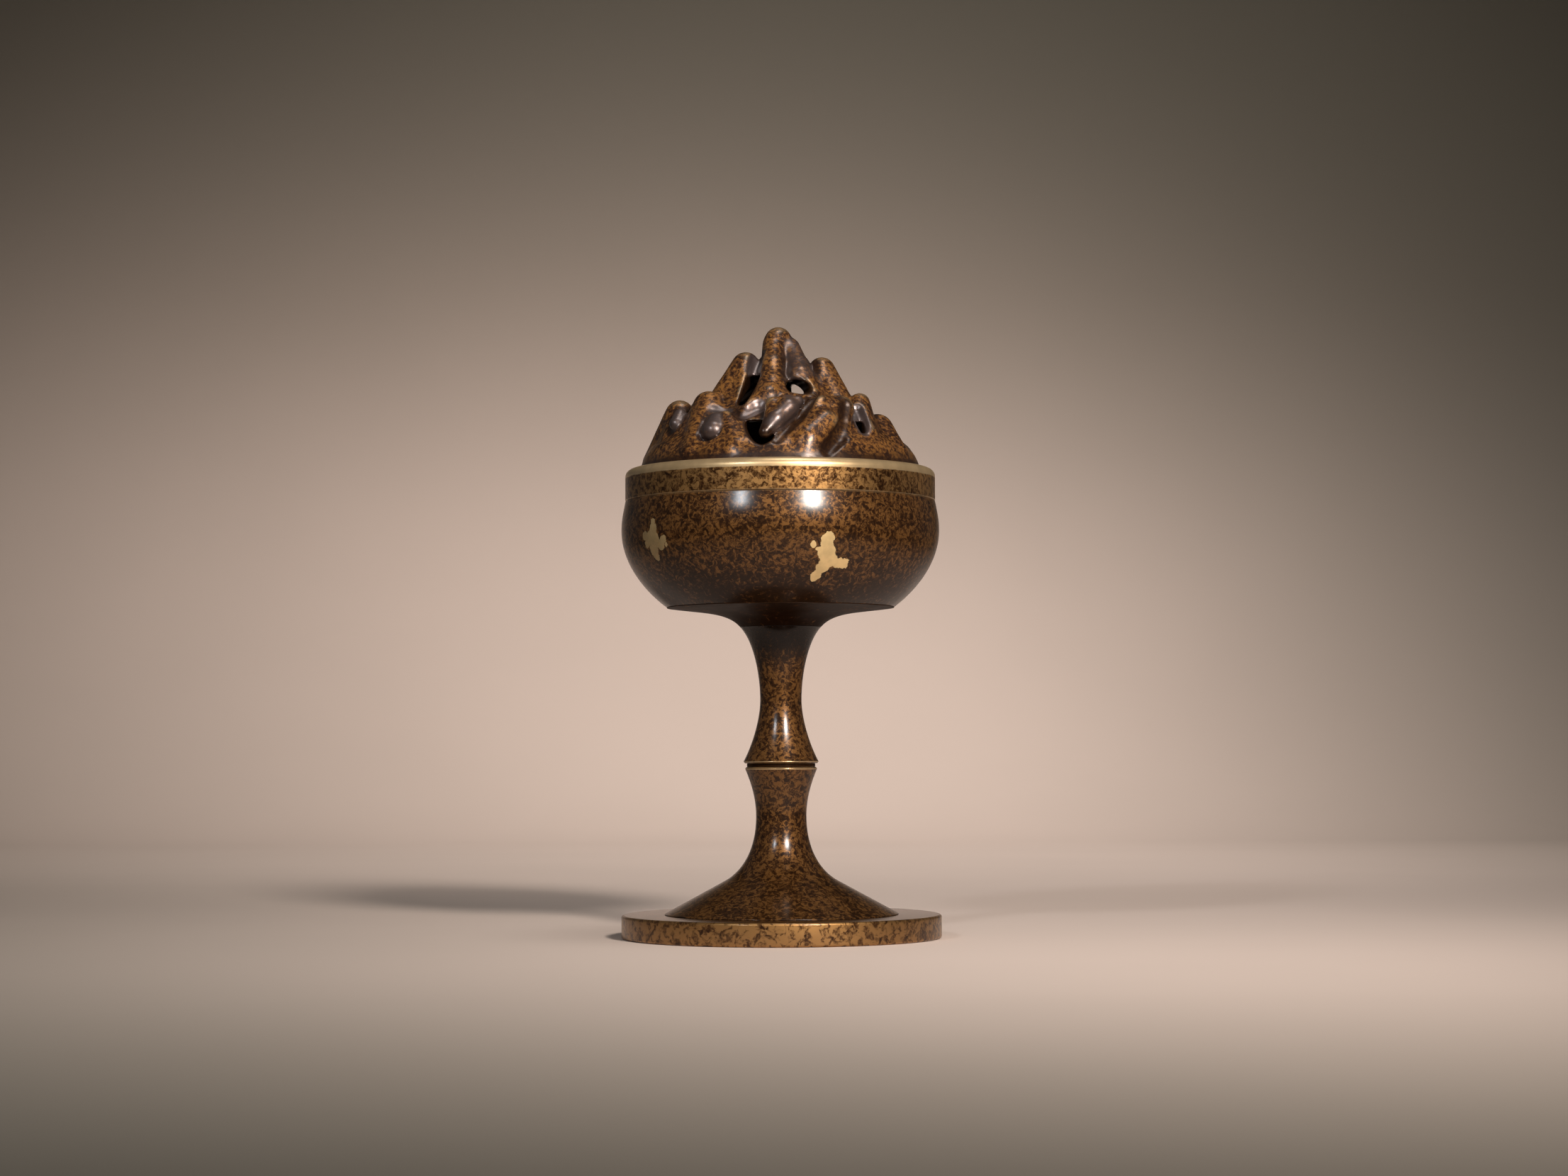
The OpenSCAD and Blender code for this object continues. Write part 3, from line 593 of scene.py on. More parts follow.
# How a form is worked into the clay: how far around it the clay is touched, and the round where it
# meets the rest.
HILL_WORK = (8, 1.0)
SUMMIT_WORK = (14, 1.5)
RIDGE_WORK = (9, 1.4)
GROOVE_WORK = (6, 0.9)
NUB_WORK = (6, 1.2)
HOLE_WORK = (10, 0.9)
FLUE_WORK = (2, 0.8)
CLAW_WORK = (8, 0.8)
# Rounds inside a form: between the faces of a mountain and those of its tip, along the claw's back,
# at its root, in a flue's corners and around the hollow.
FACE_ROUND = 2.5
TIP_ROUND = 2.0
BACK_ROUND = 1.6
ROOT_ROUND = 1.5
CORNER_ROUND = 0.8
HOLLOW_ROUND = 0.6
# Hand-cast unevenness: length of a wave, seed and share.
WAVES = ((14.0, 3, 1.0), (7.0, 4, 0.5))
WAVES_START = 4.0
# The block of clay: half its width and its top, then the top and the inside of the skirt.
BLOCK_REACH = 45.5
BLOCK_TOP = 46.5
SKIRT_TOP = 0.2
SKIRT_IN_R = 30.0


def polar(azimuth, radius, z):
    a = math.radians(azimuth)
    return np.array((radius * math.sin(a), -radius * math.cos(a), z))


def soft_min(a, b, k):
    """The smaller of two distances, with a round of size k where they meet."""
    h = np.maximum(k - np.abs(a - b), 0.0) / k
    return np.minimum(a, b) - h * h * k * 0.25


def soft_max(a, b, k):
    """The larger of two distances, with a round of size k where they meet."""
    return -soft_min(-a, -b, k)


def rope(p, a, b):
    """Distance to the hull of two beads."""
    start, run = np.array(a[:3]), np.array(b[:3]) - np.array(a[:3])
    t = np.clip(((p - start) @ run) / (run @ run), 0, 1)
    return np.linalg.norm(p - start - t[..., None] * run, axis=-1) - (a[3] + (b[3] - a[3]) * t)


def plate(p, a, b, c):
    """Distance to a rounded triangle between three beads."""
    start = np.array(a[:3])
    ba, ca, q = np.array(b[:3]) - start, np.array(c[:3]) - start, p - start
    d00, d01, d11, d20, d21 = ba @ ba, ba @ ca, ca @ ca, q @ ba, q @ ca
    den = d00 * d11 - d01 * d01
    v, w = (d11 * d20 - d01 * d21) / den, (d00 * d21 - d01 * d20) / den
    across = np.cross(ba, ca)
    thickness = a[3] + (b[3] - a[3]) * v + (c[3] - a[3]) * w
    flat = np.abs(q @ across) / math.sqrt(across @ across) - thickness
    rim = np.minimum(np.minimum(rope(p, a, b), rope(p, b, c)), rope(p, c, a))
    return np.where((v >= 0) & (w >= 0) & (v + w <= 1), np.minimum(flat, rim), rim)


def hill(p, m):
    """Distance to one mountain: a broad foot drawn up into its tip."""
    azimuth, half, foot_r, foot_z, tip_azimuth, tip_r, tip_z, tip_w = m
    ball = min(0.9 * tip_w, TIP_BALL)
    tip = polar(tip_azimuth, tip_r, tip_z - ball - TIP_SWELL)
    side = polar(tip_azimuth + 90, 1.0, 0) * max(tip_w - ball, 0)
    left = (*polar(azimuth - half, foot_r - 1.2, foot_z), FOOT_SIDE_BALL)
    middle = (*polar(azimuth, foot_r - 0.6, foot_z), FOOT_MID_BALL)
    right = (*polar(azimuth + half, foot_r - 1.2, foot_z), FOOT_SIDE_BALL)
    tip_left, tip_right = (*(tip - side), ball), (*(tip + side), ball)
    f = soft_min(plate(p, left, middle, tip_left), plate(p, middle, right, tip_right),
                 FACE_ROUND)
    if tip_w > ball + 0.2:
        f = soft_min(f, plate(p, middle, tip_right, tip_left), TIP_ROUND)
    return f


def hill_points(m):
    azimuth, half, foot_r, foot_z, tip_azimuth, tip_r, tip_z, _ = m
    foot = [polar(azimuth + turn, foot_r, foot_z) for turn in (-half, 0, half)]
    return [*foot, polar(tip_azimuth, tip_r, tip_z)]


def links(chains):
    """Every pair of neighbouring beads."""
    return [(a, b) for chain in chains for a, b in zip(chain, chain[1:])]


def tongue(p):
    """Distance to the claw: a rounded triangle with a fuller back, rooted in the mountain."""
    beak = plate(p, *CLAW)
    for a, b in links((CLAW_BACK,)):
        beak = soft_min(beak, rope(p, a, b), BACK_ROUND)
    return soft_min(beak, plate(p, CLAW[0], CLAW[1], CLAW_ROOT), ROOT_ROUND)


def smoke_hole(p, s):
    """Distance to a slanted oval run outward from the axis."""
    azimuth, z, half_w, half_h, tilt = s
    out, side, t = polar(azimuth, 1, 0), polar(azimuth + 90, 1, 0), math.radians(tilt)
    u, v = p @ side, p[..., 2] - z
    u, v = u * math.cos(t) + v * math.sin(t), -u * math.sin(t) + v * math.cos(t)
    ring = (np.sqrt((u / half_w) ** 2 + (v / half_h) ** 2) - 1) * min(half_w, half_h)
    return np.maximum(ring, OPENING_START - p @ out)


def flue(p, s):
    """Distance to an opening with a cornered outline, run outward from the axis."""
    azimuth, corners = s
    out, side = polar(azimuth, 1, 0), polar(azimuth + 90, 1, 0)
    u, v = p @ side, p[..., 2]
    gap = OPENING_START - p @ out
    for (u0, v0), (u1, v1) in zip(corners, corners[1:] + corners[:1]):
        long = math.hypot(u1 - u0, v1 - v0)
        edge = ((v1 - v0) * (u0 - u) + (u1 - u0) * (v - v0)) / long
        gap = soft_max(gap, edge, CORNER_ROUND)
    return gap


def lathe(p, line, slope):
    """Rough distance to a turned half profile."""
    r, z = zip(*line)
    return (np.hypot(p[..., 0], p[..., 1]) - np.interp(p[..., 2], z, r)) * slope


def ripple(p, length, seed):
    """A smooth unevenness between -1 and 1, the same on every run."""
    waves = 9
    rng = np.random.default_rng(seed)
    total = np.zeros(p.shape[:-1], np.float32)
    for _ in range(waves):
        way = rng.normal(size=3)
        way *= rng.uniform(0.7, 1.4) * 2 * math.pi / length / np.linalg.norm(way)
        total += np.sin(p @ way + rng.uniform(0, 2 * math.pi)).astype(np.float32)
    return total / (waves / 2)


class ClayBlock:
    """A block of distances to the lid's skin, in millimetres, to blend forms into or cut from."""

    def __init__(self, low, high, step):
        self.low, self.step = np.array(low, float), step
        self.count = np.ceil((np.array(high) - self.low) / step).astype(int) + 1
        self.axes = [self.low[i] + step * np.arange(self.count[i]) for i in range(3)]
        self.everywhere = np.stack(np.meshgrid(*self.axes, indexing="ij"), -1)
        self.clay = None

    def window(self, points, margin):
        """The part of the block around some points."""
        points = np.asarray(points)[:, :3]
        start = np.floor((points.min(0) - margin - self.low) / self.step).astype(int)
        stop = np.ceil((points.max(0) + margin - self.low) / self.step).astype(int) + 1
        return tuple(slice(a, b) for a, b in zip(np.maximum(start, 0),
                                                 np.minimum(stop, self.count)))

    def add(self, points, form, margin, k):
        part = self.window(points, margin)
        self.clay[part] = soft_min(self.clay[part], form(self.everywhere[part]), k)

    def cut(self, points, form, margin, k):
        part = self.window(points, margin)
        self.clay[part] = soft_max(self.clay[part], -form(self.everywhere[part]), k)

    def read(self, p):
        """Distances at free points, between the block's own."""
        at = (p - self.low) / self.step
        base = np.clip(np.floor(at).astype(int), 0, self.count - 2)
        f = at - base
        total = 0
        for corner in np.ndindex(2, 2, 2):
            weight = np.prod(np.where(np.array(corner) == 1, f, 1 - f), axis=-1)
            total = total + weight * self.clay[tuple((base + corner).T)]
        return total


def moat_bead(b):
    """The bead of the moat around a nub's bead, further out so that the nub keeps its root."""
    out = 1 + MOAT_OUT / math.hypot(b[0], b[1])
    return out * b[0], out * b[1], b[2], b[3] + MOAT_W


def sculpt_lid(step, wobble):
    """The whole lid as a block of distances."""
    low = LEDGE_Z - RIM_Z
    block = ClayBlock((-BLOCK_REACH, -BLOCK_REACH, low - 2),
                      (BLOCK_REACH, BLOCK_REACH, BLOCK_TOP), step)
    p = block.everywhere
    r, z = np.hypot(p[..., 0], p[..., 1]), p[..., 2]
    valley = np.maximum(lathe(p, VALLEY, VALLEY_SLOPE), z - VALLEY[-1][1])
    block.clay = valley.astype(np.float32)
    for m in MOUNTAINS:
        block.add(hill_points(m), lambda q: hill(q, m), *HILL_WORK)
    block.add(SUMMIT, lambda q: rope(q, *SUMMIT), *SUMMIT_WORK)
    for pair in links(RIDGES):
        block.add(pair, lambda q: rope(q, *pair), *RIDGE_WORK)
    for pair in links(GROOVES + SCOOPS):
        block.cut(pair, lambda q: rope(q, *pair), *GROOVE_WORK)
    for pair in links(NUBS):
        moat = [moat_bead(bead) for bead in pair]
        block.cut(moat, lambda q: rope(q, *moat), *GROOVE_WORK)
        block.add(pair, lambda q: rope(q, *pair), *NUB_WORK)
    uneven = sum(share * ripple(p, length, seed) for length, seed, share in WAVES)
    block.clay += wobble * np.clip(z / WAVES_START, 0, 1) * uneven
    skirt = np.maximum(r - SKIRT_R, z - SKIRT_TOP)
    block.clay = np.minimum(block.clay, np.maximum(skirt, SKIRT_IN_R - r))
    dome = np.maximum(lathe(p, HOLLOW, HOLLOW_SLOPE), z - HOLLOW[-1][1])
    hollow = np.where(z < low + HOLLOW_FOOT, r - CAVITY_R, dome)
    block.clay = soft_max(block.clay, -hollow, HOLLOW_ROUND).astype(np.float32)
    for s in SMOKE_HOLES:
        ends = [polar(s[0], far, s[1]) for far in (6, BLOCK_REACH)]
        block.cut(ends, lambda q: smoke_hole(q, s), *HOLE_WORK)
    for s in FLUES:
        corners = [polar(s[0] + 90, u, v) + polar(s[0], far, 0)
                   for u, v in s[1] for far in (OPENING_START, BLOCK_REACH)]
        block.cut(corners, lambda q: flue(q, s), *FLUE_WORK)
    block.add((*CLAW, CLAW_ROOT, *CLAW_BACK), tongue, *CLAW_WORK)
    block.clay = np.maximum(block.clay, r - SKIRT_R)
    block.clay = np.maximum(block.clay, low - z).astype(np.float32)
    return block


def skin_block(block):
    """The closed skin of a block, as points and four-sided faces."""
    inside = block.clay < 0
    n = block.count
    corners = list(np.ndindex(2, 2, 2))
    count = sum(inside[i:n[0] - 1 + i, j:n[1] - 1 + j, k:n[2] - 1 + k].astype(np.int8)
                for i, j, k in corners)
    cells = np.argwhere((count > 0) & (count < 8))
    index = np.full(n - 1, -1, np.int64)
    index[tuple(cells.T)] = np.arange(len(cells))
    place, hits = np.zeros((len(cells), 3)), np.zeros(len(cells))
    for a in corners:
        for axis in range(3):
            if a[axis]:
                continue
            b = list(a)
            b[axis] = 1
            fa, fb = block.clay[tuple((cells + a).T)], block.clay[tuple((cells + b).T)]
            crossed = (fa < 0) != (fb < 0)
            place[crossed] += np.array(a)
            place[crossed, axis] += fa[crossed] / (fa[crossed] - fb[crossed])
            hits[crossed] += 1
    points = block.low + block.step * (cells + place / hits[:, None])
    faces = []
    for axis in range(3):
        u, v = (axis + 1) % 3, (axis + 2) % 3
        first, second = [slice(1, -1)] * 3, [slice(1, -1)] * 3
        first[axis], second[axis] = slice(0, -1), slice(1, None)
        near, far = inside[tuple(first)], inside[tuple(second)]
        at = np.argwhere(near != far)
        outward = near[tuple(at.T)]
        at = at + 1
        at[:, axis] -= 1
        sides = []
        for du, dv in ((1, 1), (0, 1), (0, 0), (1, 0)):
            cell = at.copy()
            cell[:, u] -= du
            cell[:, v] -= dv
            sides.append(index[tuple(cell.T)])
        quads = np.stack(sides, 1)
        quads[~outward] = quads[~outward][:, ::-1]
        faces.append(quads)
    return points, np.concatenate(faces)


def even_out(points, faces, rounds=1):
    """Moves every point of a skin halfway to the middle of its neighbours."""
    edges = np.concatenate([faces[:, [i, (i + 1) % 4]] for i in range(4)])
    degree = np.bincount(edges[:, 0], minlength=len(points))[:, None]
    for _ in range(rounds):
        total = np.stack([np.bincount(edges[:, 0], points[edges[:, 1], i], len(points))
                          for i in range(3)], 1)
        points = 0.5 * points + 0.5 * total / degree
    return points


def polish_skin(block, points, faces, rounds):
    """Evens out the skin's points and draws them back onto the form."""
    nudge = 0.5 * block.step
    for _ in range(rounds):
        points = even_out(points, faces)
        for _ in range(2):
            slope = np.stack([block.read(points + d) - block.read(points - d)
                              for d in nudge * np.eye(3)], 1) / (2 * nudge)
            square = np.maximum((slope * slope).sum(1), 0.2)
            points = points - (block.read(points) / square)[:, None] * slope
    return points


def fade(gap, far):
    """1 where a gap is closed, falling smoothly to 0 at its far end."""
    t = np.clip(1 - gap / far, 0, 1)
    return t * t * (3 - 2 * t)


def nearest(points, chains):
    """Distance to the nearest chain of beads."""
    return np.min([rope(points, a, b) for a, b in links(chains)], axis=0)


# Painted shade in the lid's cuts and gloss of its smooth faces: the share, and the gaps from a form
# between which it falls to nothing.
GROOVE_SHADE = (0.6, 0.0, 2.0)
MOAT_SHADE = (0.5, 0.0, 1.2)
OPENING_SHADE = (0.8, 0.0, 1.2)
PANEL_GLOSS = (0.5, 0.2, 1.2)
NUB_GLOSS = (0.8, 0.1, 1.3)
SCOOP_GLOSS = (1.0, 0.1, 0.9)
CLAW_GLOSS = (1.0, 0.0, 0.6)


def tinge(gap, share, start, end):
    """A share of darkness or gloss that falls to nothing as a gap opens."""
    return share * fade(gap - start, end - start)


def near_cut(points):
    """Painted shade of the lid: in its grooves, in the moats and around its openings."""
    holes = np.min([smoke_hole(points, s) for s in SMOKE_HOLES]
                   + [flue(points, s) for s in FLUES], axis=0)
    moats = [[moat_bead(b) for b in chain] for chain in NUBS]
    return np.max((tinge(nearest(points, GROOVES), *GROOVE_SHADE), tinge(holes, *OPENING_SHADE),
                   tinge(nearest(points, moats), *MOAT_SHADE)), axis=0)


def smooth_faces(points):
    """Where the lid is glossy: in its scoops, on its nubs and on the claw, but not on its tip."""
    root, tip = np.array(CLAW_BACK[0][:3]), np.array(CLAW[2][:3])
    along = np.clip((points - root) @ (tip - root) / ((tip - root) @ (tip - root)), 0, 1)
    across = points[:, 0] - (root[0] + along * (tip[0] - root[0]))
    claw = tinge(tongue(points), *CLAW_GLOSS)
    claw *= np.clip(across / 1.6 + 1.2, 0, 1) * np.clip((0.93 - along) / 0.2, 0, 1)
    return np.max((claw, tinge(nearest(points, RIGHT_PANEL), *PANEL_GLOSS),
                   tinge(nearest(points, NUBS), *NUB_GLOSS),
                   tinge(nearest(points, SCOOPS), *SCOOP_GLOSS)), axis=0)


def skin_normals(points, faces):
    """The outward direction at each point of a skin."""
    a, b, c, d = (points[faces[:, i]] for i in range(4))
    across = np.cross(c - a, d - b)
    normal = np.zeros_like(points)
    for i in range(4):
        np.add.at(normal, faces[:, i], across)
    return normal / (np.linalg.norm(normal, axis=1)[:, None] + 1e-12)


def hollowness(points, faces, normal, rounds):
    """How hollow the skin is at each point: below zero on ridges, above zero in valleys."""
    return ((even_out(points, faces, rounds) - points) * normal).sum(1)


def crowding(block, points, normal):
    """How much clay stands in front of each point: 0 in the open, 1 deep in a valley."""
    free = np.mean([np.clip(block.read(points + d * normal) / d, 0, 1) for d in (1.5, 3.0, 5.0)],
                   axis=0)
    return np.clip((0.96 - free) / 0.45, 0, 1)


# Finishes. The patina's pattern is turned off the axes, so that no straight edge of a noise shows.
PATTERN_TURN = (0.6, 0.5, 0.8)


def levels(place):
    """Height above the table and distance from the axis."""
    _, _, z = split(place)
    return z, aim("LENGTH", aim("MULTIPLY", place, (1, 1, 0)))


def mottle_group():
    """Golden marks on a dark ground: curled strands, denser here and sparser there."""
    tree, given = new_group("ShaderNodeTree", "mottled_patina", {
        "Vector": "Vector", "Mark Size": 0.003, "Golden Share": 0.5, "Softness": 0.05,
        "Curl": 1.0, "Drift": 0.24, "Dark": "Color", "Brown": "Color", "Golden": "Color"},
        {"Colour": "Color", "Golden Mask": "Float"})
    dark, brown, golden = given["Dark"], given["Brown"], given["Golden"]
    turned = wire(tree, "ShaderNodeVectorRotate", {
        "Vector": given["Vector"], "Rotation": PATTERN_TURN}, rotation_type="EULER_XYZ")
    p = aim("SCALE", turned, scale=1.0 / given["Mark Size"])
    q = stir(p, 0.32, 2.0, given["Curl"] * 4.2)
    q = stir(q, 0.8, 1.0, given["Curl"] * 1.6)
    drift = (noise(p, 0.09) - 0.5) * given["Drift"]
    bias = (given["Golden Share"] - 0.5) * 0.42
    level = noise(q, 0.75, rough=0.55) + (drift + bias)
    mask = ease(level, 0.5 - given["Softness"], 0.5 + given["Softness"])
    ground = blend(ease(level, 0.3, 0.52), dark, brown)
    bright = blend(ease(noise(p, 2.3), 0.3, 0.62), brown, golden)
    lit = blend(ease(level, 0.5, 0.64), bright, golden)
    return deliver(tree, {"Colour": blend(mask, ground, lit), "Golden Mask": mask})


def rub_group():
    """Where handling has rubbed an edge bright: the wear of the form, broken up by grain."""
    tree, given = new_group("ShaderNodeTree", "rubbed_edges", {
        "Vector": "Vector", "Wear": 0.0, "Amount": 0.8}, {"Mask": "Float"})
    grain = ease(noise(given["Vector"], 420.0, 3.0, 0.6), 0.25, 0.5, 0.55, 1.0)
    patch = ease(noise(given["Vector"], 70.0), 0.3, 0.55, 0.35, 1.0)
    worn = ease(given["Wear"], 0.2, 0.9)
    return deliver(tree, {"Mask": worn * (patch * grain) * given["Amount"]})


def cast_group():
    """The fine unevenness of a lacquered casting, with a pit here and there."""
    tree, given = new_group("ShaderNodeTree", "cast_skin", {"Vector": "Vector", "Pits": 0.4},
                            {"Height": "Float", "Gloss Change": "Float"})
    place = given["Vector"]
    wave, grain = noise(place, 160.0), noise(place, 1500.0, rough=0.6)
    pit = ease(noise(place, 760.0, 1.0), 0.7, 0.78)
    gloss = ease(noise(place, 55.0, 3.0, 0.6), 0.3, 0.7, -0.06, 0.07)
    return deliver(tree, {"Height": grain * 0.12 + wave - pit * given["Pits"],
                          "Gloss Change": gloss})


def lathe_group():
    """Fine rings left by the turning tool."""
    tree, given = new_group("ShaderNodeTree", "turning_rings", {
        "Vector": "Vector", "Ring Spacing": 0.0006}, {"Height": "Float"})
    z, r = levels(given["Vector"])
    turns = (r + z) / given["Ring Spacing"]
    rings = wire(tree, "ShaderNodeTexNoise", {"W": turns, "Scale": 1.0, "Detail": 3.0},
                 noise_dimensions="1D")
    return deliver(tree, {"Height": rings})


def splash_group():
    """One more drop of a gold splash: the nearest drop so far, measured in drop radii."""
    tree, given = new_group("ShaderNodeTree", "gold_drop", {
        "Vector": "Vector", "Centre": "Vector", "Radius": 0.002, "Nearest": 9.0},
        {"Nearest": "Float"})
    gap = aim("DISTANCE", given["Vector"], given["Centre"]) / given["Radius"]
    return deliver(tree, {"Nearest": calc("SMOOTH_MIN", gap, given["Nearest"], 0.25)})


GROUP_MAKERS = {"mottled_patina": mottle_group, "rubbed_edges": rub_group,
                "cast_skin": cast_group, "turning_rings": lathe_group, "gold_drop": splash_group}


def use(name, inputs):
    """Places a shared group in a material and returns its outputs."""
    group = bpy.data.node_groups.get(name) or GROUP_MAKERS[name]()
    return wires(put(home(*inputs.values()), "ShaderNodeGroup", inputs, node_tree=group))


def start_material(name):
    """A new material with its shader and its Object coordinates."""
    material = bpy.data.materials.new(name)
    material.use_nodes = True
    tree = material.node_tree
    place = wire(tree, "ShaderNodeTexCoord", output="Object")
    return material, tree.nodes["Principled BSDF"], place


def bump(height, strength, distance):
    inputs = {"Strength": strength, "Distance": distance, "Height": height}
    return wire(home(height), "ShaderNodeBump", inputs)


def attribute(place, name):
    """A value that the mesh carries, read in the tree that place belongs to."""
    return wire(home(place), "ShaderNodeAttribute", output="Fac", attribute_name=name)


def toned(colour, factor):
    return [min(1.0, v * factor) for v in colour]


def rgb(colour, factor=1.0):
    """A colour for a socket, made lighter or darker by a factor."""
    return (*toned(colour, factor), 1.0)


# The lacquer over the bronze, and how softly a band of rubbed edges ends, in metres.
LACQUER_SPECULAR = 0.03
LACQUER_IOR = 1.5
LACQUER_PITS = 0.4
BUMP_STRENGTH = 0.25
BAND_EDGE = 0.0005


class BronzeMixer:
    """Builds up the colour and gloss of one lacquered bronze finish.

    The share of golden marks may thin out towards some heights: each entry of fall holds such a
    height, the height of the full share and the share left at the first. Metal and rough are a
    pair each, for the ground and for the marks."""

    def __init__(self, name, mark_size, share, softness=0.06, curl=1.0, drift=0.24, tones=None,
                 fall=(), metal=(0.25, 0.5), rough=(0.42, 0.46)):
        self.colours = c = bpy.context.scene.censer_colours
        self.material, self.shader, self.place = start_material(name)
        self.z, self.r = levels(self.place)
        dark, brown, golden = tones or (c.patina_dark, c.patina_brown, c.patina_gold)
        full = share
        for end, start, left in fall:
            share = calc("MINIMUM", share, ease(self.z, end, start, left, full))
        marks = use("mottled_patina", {
            "Vector": self.place, "Mark Size": mark_size * c.mark_scale, "Golden Share": share,
            "Softness": softness, "Curl": curl, "Drift": drift,
            "Dark": rgb(dark), "Brown": rgb(brown), "Golden": rgb(golden)})
        skin = use("cast_skin", {"Vector": self.place, "Pits": LACQUER_PITS})
        self.colour, self.height = marks["Colour"], skin["Height"]
        self.metal = ease(marks["Golden Mask"], 0.0, 1.0, *metal)
        self.rough = ease(marks["Golden Mask"], 0.0, 1.0, *rough) + skin["Gloss Change"]

    def lay(self, mask, colour, metal, rough):
        """Lays another finish over the patina where the mask is."""
        self.colour = blend(mask, self.colour, colour)
        self.metal = self.metal * (1.0 - mask) + mask * metal
        self.rough = self.rough * (1.0 - mask) + mask * rough

    def rub(self, amount, low=0.0, high=0.2):
        """Bright edges between two heights."""
        over = ease(self.z, low - BAND_EDGE, low + BAND_EDGE)
        under = ease(self.z, high + BAND_EDGE, high - BAND_EDGE)
        mask = use("rubbed_edges", {
            "Vector": self.place, "Wear": attribute(self.place, "wear"),
            "Amount": over * under * amount})["Mask"]
        self.lay(mask, rgb(self.colours.polished), metal=0.9, rough=0.26)

    def finish(self, coat=0.6, coat_rough=0.21, bump_depth=0.00016):
        """Links the finish to its shader."""
        feed(self.shader, {
            "Base Color": self.colour, "Metallic": self.metal, "Roughness": self.rough,
            "Coat Weight": coat, "Coat Roughness": coat_rough,
            "Specular IOR Level": LACQUER_SPECULAR, "IOR": LACQUER_IOR,
            "Normal": bump(self.height, BUMP_STRENGTH, bump_depth)})
        return self.material


# Bands of the finishes: heights, radii or sideways places, in metres, from where a band starts to
# where it is full.
# Painted shade under the belly: its golden marks thin out towards its foot, so that it is darker
# there.
BELLY_SHADE_FALL = ((0.105, 0.119, 0.12),)
BELLY_RUB_START = 0.132
# Painted shade on the belly's left side: the gold splashes there are laid at half strength.
LEFT_SPLASH_SHADE = (-0.037, -0.03)
# Golden marks of the stem thin out towards the trumpet's foot, and towards the neck as painted
# shade under the bowl.
STEM_FALL_AND_NECK_SHADE = ((0.094, 0.078, 0.1), (0.01, 0.034, 0.42))
# Painted shade under the bowl: a dark sheet over the top of the stem.
NECK_SHADE = (0.082, 0.096)
NODE_RUB = (0.04, 0.06)
LIP_BAND = (0.1437, 0.1441)
LIP_WAVER = 0.0006
MOUTH_BAND = (0.0447, 0.0444)
BASE_TOP_BAND = (0.0069, 0.0072)
BASE_TOP_EDGE = (0.0496, 0.0490)
BASE_UNDER_BAND = (0.0017, 0.0009)
BASE_UNDER_EDGE = (0.0496, 0.0492)
# Gold splashes on the belly: a drop is an azimuth from the front, a height and a radius, in degrees
# and millimetres.
SPLASHES = (
    (17.1, 121.8, 1.9), (17.2, 123.2, 0.9), (16.8, 119.7, 1.9), (17.0, 117.8, 2.7),
    (11.7, 120.0, 1.0), (13.6, 118.8, 0.7), (18.1, 115.7, 2.5), (22.3, 114.7, 1.6),
    (24.8, 115.2, 1.1), (24.8, 113.9, 1.0), (16.3, 113.5, 2.0), (14.3, 111.3, 1.6),
    (13.5, 110.1, 1.1),
    (-51.7, 122.9, 2.9), (-50.9, 126.1, 1.6), (-51.0, 128.2, 0.9), (-56.1, 124.0, 1.4),
    (-56.0, 121.4, 1.1), (-46.0, 122.7, 1.2), (-47.8, 121.0, 1.5), (-45.0, 121.0, 0.6),
    (-52.4, 119.8, 1.9), (-52.0, 117.6, 1.3),
    (128, 121, 2.6), (131, 117.6, 3.0), (134.5, 119.4, 1.6), (127.4, 114.6, 1.7),
    (-142, 118, 2.8), (-145, 121.4, 1.9), (-139.4, 115.4, 1.8), (-138, 120.6, 1.1))
DROP_SWELL = 1.08
RAGGED_REACH = 0.0016


def belly_radius(z):
    r, height = np.array(belly_line()).T
    return float(np.interp(z, height, r))


def belly_bronze():
    # Painted shade: fewer golden marks towards the belly's foot.
    mix = BronzeMixer("belly_bronze", 0.00095, 0.45, softness=0.09, fall=BELLY_SHADE_FALL)
    ragged = stir(mix.place, 620.0, 3.0, RAGGED_REACH, rough=0.6)
    gap = 9.0
    for azimuth, z, radius in SPLASHES:
        centre = polar(azimuth, belly_radius(z), z) * MM
        gap = use("gold_drop", {"Vector": ragged, "Centre": tuple(centre),
                                "Radius": DROP_SWELL * radius * MM, "Nearest": gap})["Nearest"]
    x, _, _ = split(mix.place)
    # Painted shade: splashes on the left side are laid at half strength.
    splash_shade_fade = ease(x, *LEFT_SPLASH_SHADE, 0.5, 1.0)
    gold = mix.colours.splash_gold
    leaf = blend(ease(noise(mix.place, 300.0, 3.0), 0.3, 0.7), rgb(gold), rgb(gold, 0.8))
    mix.lay(ease(gap, 1.03, 0.95) * splash_shade_fade, leaf, metal=0.7, rough=0.48)
    mix.rub(0.12, low=BELLY_RUB_START)
    return mix.finish()


def stem_bronze():
    # Golden marks thin out towards the trumpet's foot. Painted shade under the bowl: they thin out
    # towards the neck too, and a dark sheet is laid there.
    mix = BronzeMixer("stem_bronze", 0.00095, 0.52, softness=0.08, fall=STEM_FALL_AND_NECK_SHADE)
    neck = ease(mix.z, *NECK_SHADE, 0.0, 0.75)
    mix.lay(neck, rgb(mix.colours.patina_dark, 0.3), metal=0.1, rough=0.55)
    mix.rub(0.75, *NODE_RUB)
    return mix.finish()


def saddle_bronze():
    mix = BronzeMixer("saddle_bronze", 0.0014, 0.02, metal=(0.08, 0.2), rough=(0.56, 0.6))
    return mix.finish(0.08, 0.3)


def bright_tones():
    """Tones of the rim and the base, whose patina is thinner."""
    c = bpy.context.scene.censer_colours
    return toned(c.patina_dark, 1.6), toned(c.patina_brown, 1.7), c.bright_gold


